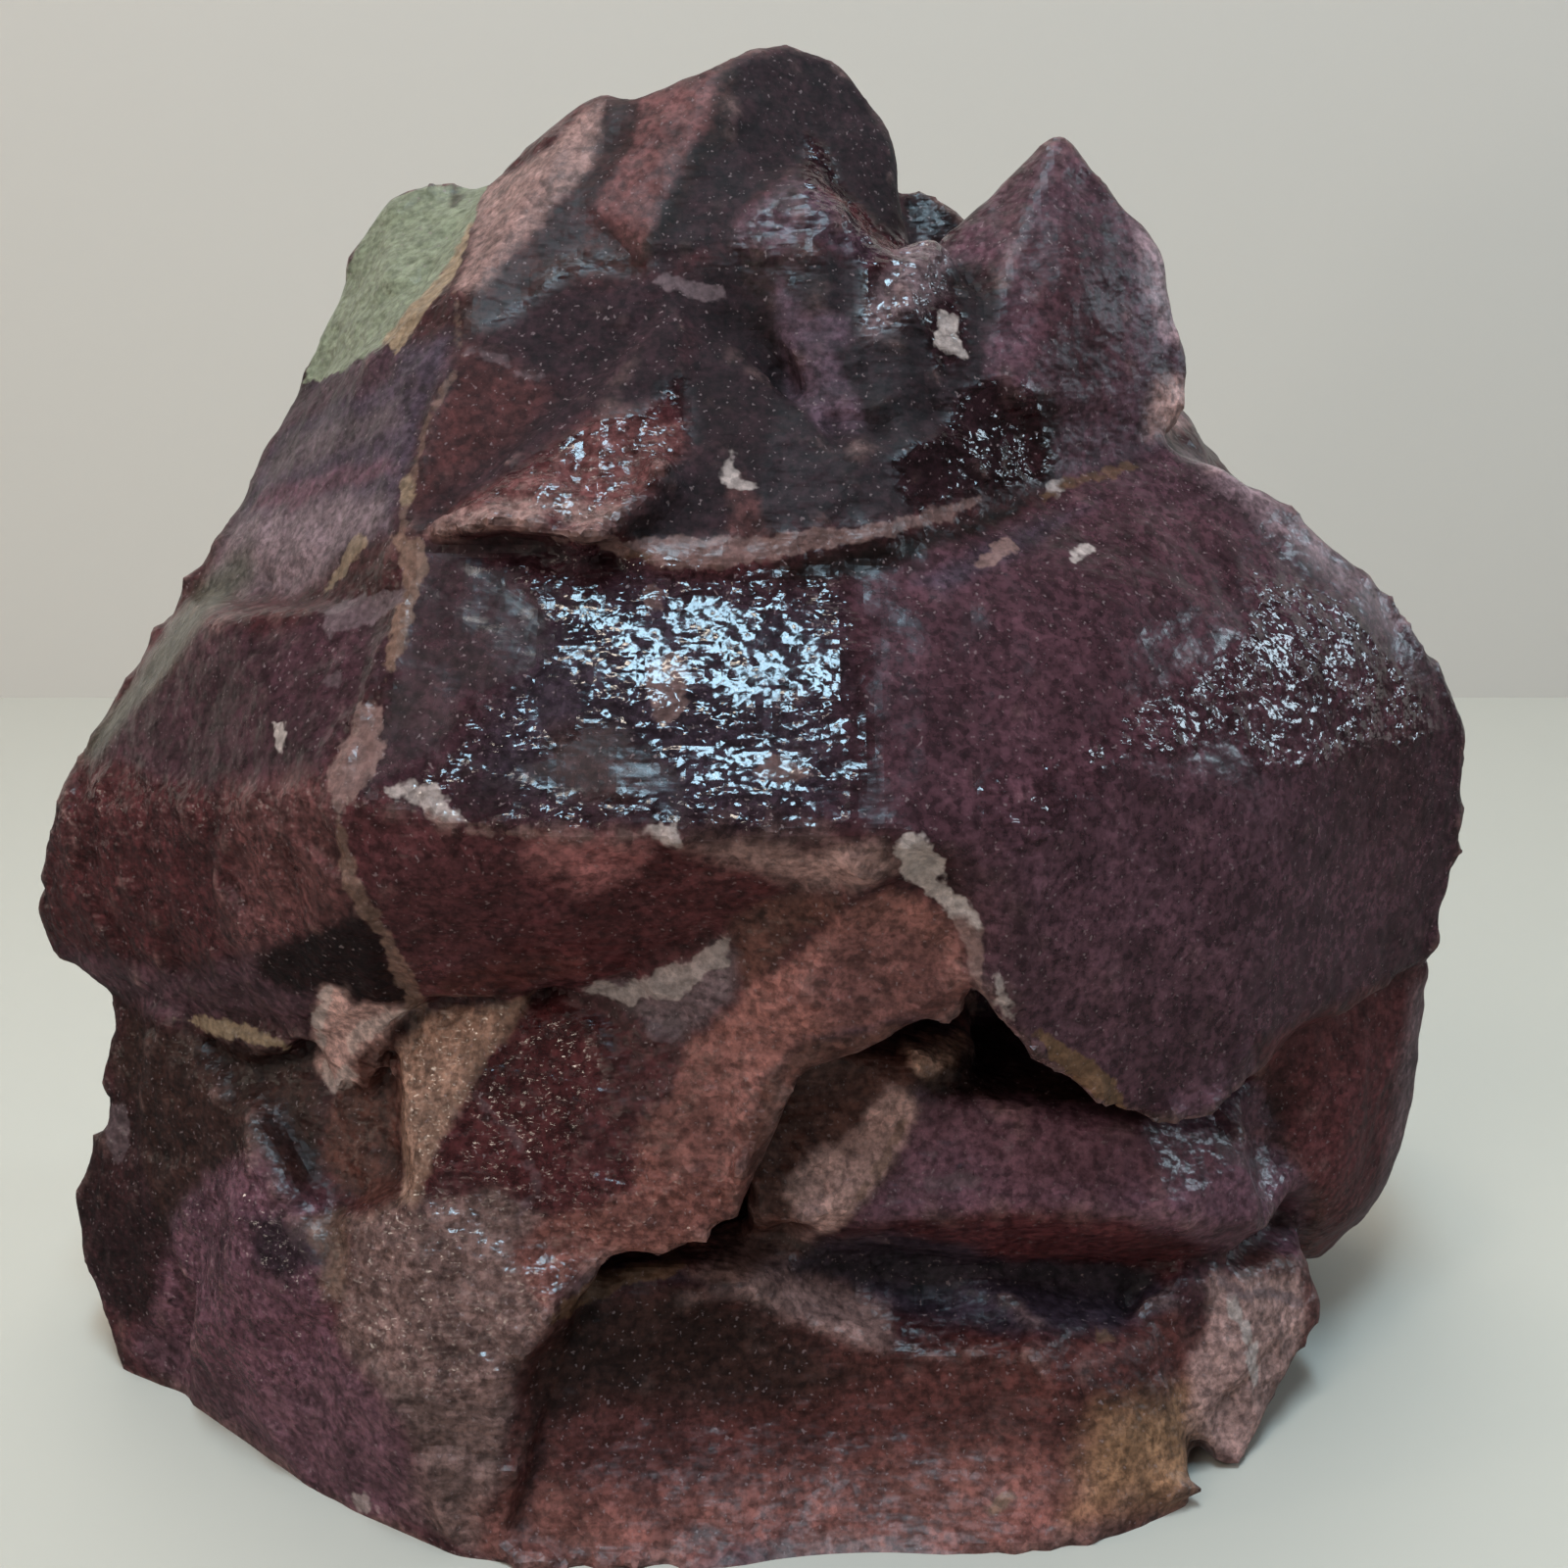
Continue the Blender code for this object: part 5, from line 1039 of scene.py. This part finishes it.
def fine_stone():
    """The stone in fine mesh: fused from its blocks, hollowed, roughened and cut flat below."""
    stone = rough_stone()
    fuse(stone)
    points = read_points(stone.data)
    for hollow in HOLLOWS:
        points = press_hollow(points, *hollow)
    write_points(stone.data, points)
    even_out(stone.data)
    points = read_points(stone.data)
    normals = read_normals(stone.data)
    rise = relief(points, normals, stone.data) * smoothstep(0.0, FOOT_FADE, points[:, 2] / MM)
    write_points(stone.data, points + normals * (rise * MM)[:, None])
    fuse(stone)
    cut_base(stone)
    thin_back(stone)
    return stone


def thin_back(stone):
    """Thins the faces that the front view doesn't show, until the stone has few enough."""
    mesh = stone.data
    mesh.transform(Matrix.Scale(1 / MM, 4))
    points = read_points(mesh) * MM
    spared = front_weight(points, read_normals(mesh)) > FINE_SHARE
    loose = stone.vertex_groups.new(name="loose")
    loose.add([int(index) for index in np.nonzero(~spared)[0]], 0.5, "REPLACE")
    thin = stone.modifiers.new("thin", "DECIMATE")
    thin.vertex_group = loose.name
    thin.ratio = min(1.0, MOST_TRIANGLES / len(mesh.polygons))
    settle(stone)
    stone.vertex_groups.clear()
    stone.data.transform(Matrix.Scale(MM, 4))


def even_out(mesh):
    """Rounds the creases off the faces that broke as one smooth shell."""
    points = read_points(mesh)
    edges = read_edges(mesh)
    place = seen_place(points)
    share = np.zeros(len(points))
    for outline in SHELLS:
        share = np.maximum(share, smoothstep(0.0, SHELL_FADE, inside_by(place, outline)))
    share *= front_weight(points, read_normals(mesh))
    level = averaged(points, edges, SHELL_ROUNDS, len(points))
    write_points(mesh, points + (level - points) * share[:, None])


def cut_base(stone):
    """Cuts the stone off flat at the floor, and closes the cut."""
    shape = bmesh.new()
    shape.from_mesh(stone.data)
    cut = bmesh.ops.bisect_plane(shape, geom=[*shape.verts, *shape.edges, *shape.faces], dist=0.001 * MM,
                                 plane_co=(0, 0, 0), plane_no=(0, 0, -1), clear_outer=True)
    rim = [part for part in cut["geom_cut"] if isinstance(part, bmesh.types.BMEdge)]
    bmesh.ops.holes_fill(shape, edges=rim, sides=0)
    bmesh.ops.triangulate(shape, faces=shape.faces)
    shape.to_mesh(stone.data)
    shape.free()


def front_weight(points, normals):
    """1 on the faces that the front view shows, fading to 0 on the sides and back."""
    toward = Vector((0, -math.cos(VIEW_PITCH), math.sin(VIEW_PITCH)))
    facing = normals @ np.array(toward)
    return smoothstep(-0.12, 0.25, facing)


def write_colour(mesh, name, colours):
    layer = mesh.attributes.new(name, "FLOAT_COLOR", "POINT")
    layer.data.foreach_set("color", colours.astype(np.float32).ravel())


def write_number(mesh, name, numbers):
    layer = mesh.attributes.new(name, "FLOAT", "POINT")
    layer.data.foreach_set("value", numbers.astype(np.float32))


def blend(colour, shade, share, brightness=1.0):
    """Colours moved towards a shade, each by its own share."""
    return colour + (np.array(to_linear(SHADES[shade])) * brightness - colour) * share[:, None]


def zone_colour(spots, place, front):
    """The stone's colour at each point: its clouds, and over them its zones."""
    colour = np.tile(np.array(to_linear(SHADES["wine"])), (len(spots), 1))
    for shade, scale, seed, low in CLOUDS:
        colour = blend(colour, shade, smoothstep(low, low + 0.35, swells(spots, scale, seed)) * 0.8)
    # The zones' brightness paints light and shade along with colour: painted shadow under overhangs, painted
    # sheen on the slab and rims, painted light on the low zones in shade.
    for _, shade, brightness, softness, strength, outline in ZONES:
        share = smoothstep(-softness, softness, inside_by(place, outline)) * strength * front
        colour = blend(colour, shade, share, brightness)
    return colour


def write_marks(mesh, place, front):
    """Writes the small marks: each point's nearest mark, and how far inside it the point is."""
    mark = np.zeros((len(place), 4))
    inside = np.full(len(place), -9.0)
    for shade, strength, outline in MARKS:
        depth = inside_by(place, outline)
        closer = depth > inside
        mark[closer] = (*to_linear(SHADES[shade]), strength)
        inside = np.maximum(inside, depth)
    mark[:, 3] *= smoothstep(0.3, 0.8, front)
    write_colour(mesh, "mark_colour", mark)
    write_number(mesh, "mark_inside", inside)


def paint(stone):
    """Writes the stone's colour and gloss to its mesh, as attributes that its material reads."""
    mesh = stone.data
    points = read_points(mesh)
    normals = read_normals(mesh)
    spots = points / MM
    place = seen_place(points)
    drift = [swells(spots, 6.0, seed) * 0.5 + swells(spots, 1.8, seed + 5, 2) * 0.4 for seed in (61, 62)]
    drift = np.stack(drift, -1)
    place = place + drift
    front = front_weight(points, normals)
    colour = zone_colour(spots, place, front)
    write_marks(mesh, place - drift * 0.55, front)
    proud = proud_height(mesh, 4)
    proud_wide = proud_height(mesh, 16)
    ragged = swells(spots, 2.4, 81, 2)
    # Painted light: edges that stand proud are moved towards dusty pink, for the light that shines through
    # thin edges.
    edge = np.maximum(0.5 * smoothstep(0.2, 0.7, proud_wide + 0.35 * ragged),
                      0.8 * smoothstep(0.10, 0.26, proud + 0.08 * ragged))
    colour = blend(colour, "dusty_pink", edge * 0.55)
    # Painted shade: the colour is darkened by up to 35 percent in the hollows; the same mask adds roughness
    # there.
    hollow = smoothstep(0.1, 0.5, -proud_wide)
    colour = colour * (1.0 - 0.35 * hollow)[:, None]
    mottle = 1.0 + 0.35 * swells(spots, 3.2, 91, 3)
    colour = np.clip(colour * mottle[:, None], 0.0, 1.0)
    write_colour(mesh, "stone_colour", np.concatenate([colour, np.ones((len(colour), 1))], -1))
    _, rough, tilt = skin_at(points, normals)
    rough = rough + 0.04 * swells(spots, 5.0, 95) + 0.2 * hollow
    write_number(mesh, "stone_roughness", np.clip(rough, 0.10, 0.85))
    island = smoothstep(-0.25, 0.10, swells(spots * (0.7, 1.0, 1.2), 5.0, 97, 3))
    flat = smoothstep(0.18, 0.14, rough) * island
    write_number(mesh, "grain_tilt", tilt + (0.12 - tilt) * flat)


class Value:
    """A socket that carries numbers, so that shader maths reads as Python."""

    def __init__(self, material, socket):
        self.material = material
        self.socket = socket

    def maths(self, operation, first, second):
        return self.material.node("ShaderNodeMath", {"operation": operation}, {0: first, 1: second}).value()

    def __add__(self, other):
        return self.maths("ADD", self, other)

    def __sub__(self, other):
        return self.maths("SUBTRACT", self, other)

    def __mul__(self, other):
        return self.maths("MULTIPLY", self, other)


class Made:
    """A node that has been added, and its outputs."""

    def __init__(self, material, node):
        self.material = material
        self.outputs = node.outputs

    def value(self, output=0):
        return Value(self.material, self.outputs[output])


class Material:
    """A node material that is built up by calls."""

    def __init__(self, name):
        self.made = bpy.data.materials.new(name)
        self.made.use_nodes = True
        self.tree = self.made.node_tree
        self.tree.nodes.clear()

    def node(self, kind, settings=None, inputs=None):
        node = self.tree.nodes.new(kind)
        for name, setting in (settings or {}).items():
            setattr(node, name, setting)
        for name, given in (inputs or {}).items():
            if isinstance(given, Value):
                self.tree.links.new(given.socket, node.inputs[name])
            else:
                node.inputs[name].default_value = given
        return Made(self, node)

    def mix(self, share, first, second, blend="MIX"):
        """A colour mix: the first colour where the share is 0, the second where it is 1."""
        settings = {"data_type": "RGBA", "blend_type": blend, "clamp_result": False}
        return self.node("ShaderNodeMix", settings, {0: share, 6: first, 7: second}).value(2)

    def smooth(self, value, low, high, to_low=0.0, to_high=1.0):
        """A value mapped from one span to another with soft ends."""
        settings = {"interpolation_type": "SMOOTHSTEP"}
        inputs = {"Value": value, "From Min": low, "From Max": high, "To Min": to_low, "To Max": to_high}
        return self.node("ShaderNodeMapRange", settings, inputs).value()

    def attribute(self, name):
        return self.node("ShaderNodeAttribute", {"attribute_name": name})

    def scaled(self, place, scale):
        return self.node("ShaderNodeMapping", {}, {"Vector": place, "Scale": scale}).value()

    def noise(self, place, scale, detail, roughness=0.5):
        inputs = {"Vector": place, "Scale": scale, "Detail": detail, "Roughness": roughness}
        return self.node("ShaderNodeTexNoise", {}, inputs).value("Fac")

    def cells(self, place, scale):
        """A random colour for each small cell of space."""
        return self.node("ShaderNodeTexVoronoi", {}, {"Vector": place, "Scale": scale}).value("Color")

    def vector(self, operation, inputs):
        return self.node("ShaderNodeVectorMath", {"operation": operation}, inputs).value()


def stone_material():
    """The mineral: speckled colour, small tilted grain faces, and a body that lets light in."""
    material = Material("fluorite")
    coordinate = material.node("ShaderNodeTexCoord").value("Object")
    grain_place = material.scaled(coordinate, (1 / MM, 1 / MM, 1 / MM))
    colour = material.attribute("stone_colour").value("Color")
    roughness = material.attribute("stone_roughness").value("Fac")
    tilt = material.attribute("grain_tilt").value("Fac")
    cells = material.cells(grain_place, 0.9)
    cell_value = material.node("ShaderNodeSeparateColor", {}, {0: cells}).value("Red")
    fine = material.noise(grain_place, 1.05, 3.0, 0.65)
    speckle = material.smooth(fine, 0.30, 0.70, 0.58, 1.60) * (cell_value * 0.5 + 0.75)
    grey = material.node("ShaderNodeCombineColor", {}, {0: speckle, 1: speckle, 2: speckle}).value()
    tinted = material.mix(1.0, colour, grey, "MULTIPLY")
    flecks = material.smooth(material.noise(grain_place, 1.9, 1.0), 0.67, 0.75)
    mark = material.attribute("mark_colour")
    inside = material.attribute("mark_inside").value("Fac")
    ragged = material.noise(grain_place, 0.7, 2.0)
    within = material.smooth(inside + (ragged - 0.5) * 1.9, -0.22, 0.22)
    marked = material.mix(0.6, mark.value("Color"), grey, "MULTIPLY")
    tinted = material.mix(within * mark.value("Alpha"), tinted, marked)
    base = material.mix(flecks * 0.45, tinted, FLECK_COLOUR)
    normal = material.node("ShaderNodeNewGeometry").value("Normal")
    lean = material.vector("SUBTRACT", {0: material.cells(grain_place, 1.05), 1: (0.5, 0.5, 0.5)})
    lean = material.vector("SCALE", {0: lean, "Scale": tilt})
    tilted = material.vector("NORMALIZE", {0: material.vector("ADD", {0: normal, 1: lean})})
    waves = material.noise(material.scaled(coordinate, (620, 1100, 1400)), 0.62, 1.5)
    bump = material.node("ShaderNodeBump", {}, {
        "Strength": 1.0, "Distance": 1.0 * MM, "Height": waves * (tilt * 1.8 + 0.03), "Normal": tilted,
    }).value()
    shader = material.node("ShaderNodeBsdfPrincipled", {}, {
        "Base Color": base, "Roughness": roughness, "Normal": bump, "IOR": FLUORITE_IOR,
        "Transmission Weight": CLEAR_SHARE,
    }).value()
    absorbed = {"Color": BODY_TINT, "Density": BODY_DENSITY}
    volume = material.node("ShaderNodeVolumeAbsorption", {}, absorbed).value()
    material.node("ShaderNodeOutputMaterial", {}, {"Surface": shader, "Volume": volume})
    return material.made


def plain_material(name, shade, roughness, clear_behind=False):
    """A plain stage material, which can be clear from behind so that a view from there sees past."""
    material = Material(name)
    shader = material.node("ShaderNodeBsdfPrincipled", {}, {
        "Base Color": (*to_linear(shade), 1.0), "Roughness": roughness,
    }).value()
    if clear_behind:
        clear = material.node("ShaderNodeBsdfTransparent").value()
        behind = material.node("ShaderNodeNewGeometry").value("Backfacing")
        shader = material.node("ShaderNodeMixShader", {}, {0: behind, 1: shader, 2: clear}).value()
    material.node("ShaderNodeOutputMaterial", {}, {"Surface": shader})
    return material.made


def add_sheet(name, size, corner, along, up, material):
    """A flat rectangle of the room, from a corner and its two sides."""
    shape = bmesh.new()
    corner, along, up = Vector(corner), Vector(along) * size[0], Vector(up) * size[1]
    verts = [shape.verts.new(spot) for spot in (corner, corner + along, corner + along + up, corner + up)]
    shape.faces.new(verts)
    mesh = bpy.data.meshes.new(name)
    shape.to_mesh(mesh)
    shape.free()
    obj = add_object(name, mesh)
    obj.data.materials.append(material)
    return obj


def add_light(name, place, target, size, power, colour, in_gloss):
    light = bpy.data.lights.new(name, "AREA")
    light.shape = "RECTANGLE"
    light.size, light.size_y = size
    light.energy = power
    light.color = colour
    lamp = add_object(name, light)
    lamp.location = place
    lamp.rotation_euler = (Vector(target) - Vector(place)).to_track_quat("-Z", "Y").to_euler()
    lamp.visible_glossy = in_gloss


def build_room():
    """A pale floor and wall under plain lights; only the window lights show in the gloss."""
    floor = plain_material("pale_floor", (0.77, 0.755, 0.715), 0.5)
    wall = plain_material("pale_wall", (0.835, 0.805, 0.775), 0.8, clear_behind=True)
    ground = add_sheet("floor", (3.0, 3.4), (-1.5, -3.0, 0.0), (1, 0, 0), (0, 1, 0), floor)
    ground.visible_glossy = False
    add_sheet("wall", (3.0, 1.6), (-1.5, 0.335, 0.0), (1, 0, 0), (0, 0, 1), wall)
    world = bpy.data.worlds.new("soft_room")
    bpy.context.scene.world = world
    world.use_nodes = True
    background = world.node_tree.nodes["Background"]
    background.inputs["Color"].default_value = WORLD_COLOUR
    background.inputs["Strength"].default_value = WORLD_STRENGTH
    for row in LIGHTS:
        add_light(*row)


def build_camera():
    camera = bpy.data.cameras.new("front_view")
    camera.lens = 50
    camera.sensor_width = 36
    eye = add_object("front_view", camera)
    eye.location = VIEW_POINT
    eye.rotation_euler = (math.pi / 2 - VIEW_PITCH, 0, 0)
    bpy.context.scene.camera = eye


def main():
    bpy.context.scene.view_settings.view_transform = "Standard"
    stone = fine_stone()
    paint(stone)
    stone.data.materials.clear()
    stone.data.materials.append(stone_material())
    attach(stone, "root")
    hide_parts("fluorite")
    build_room()
    build_camera()


main()
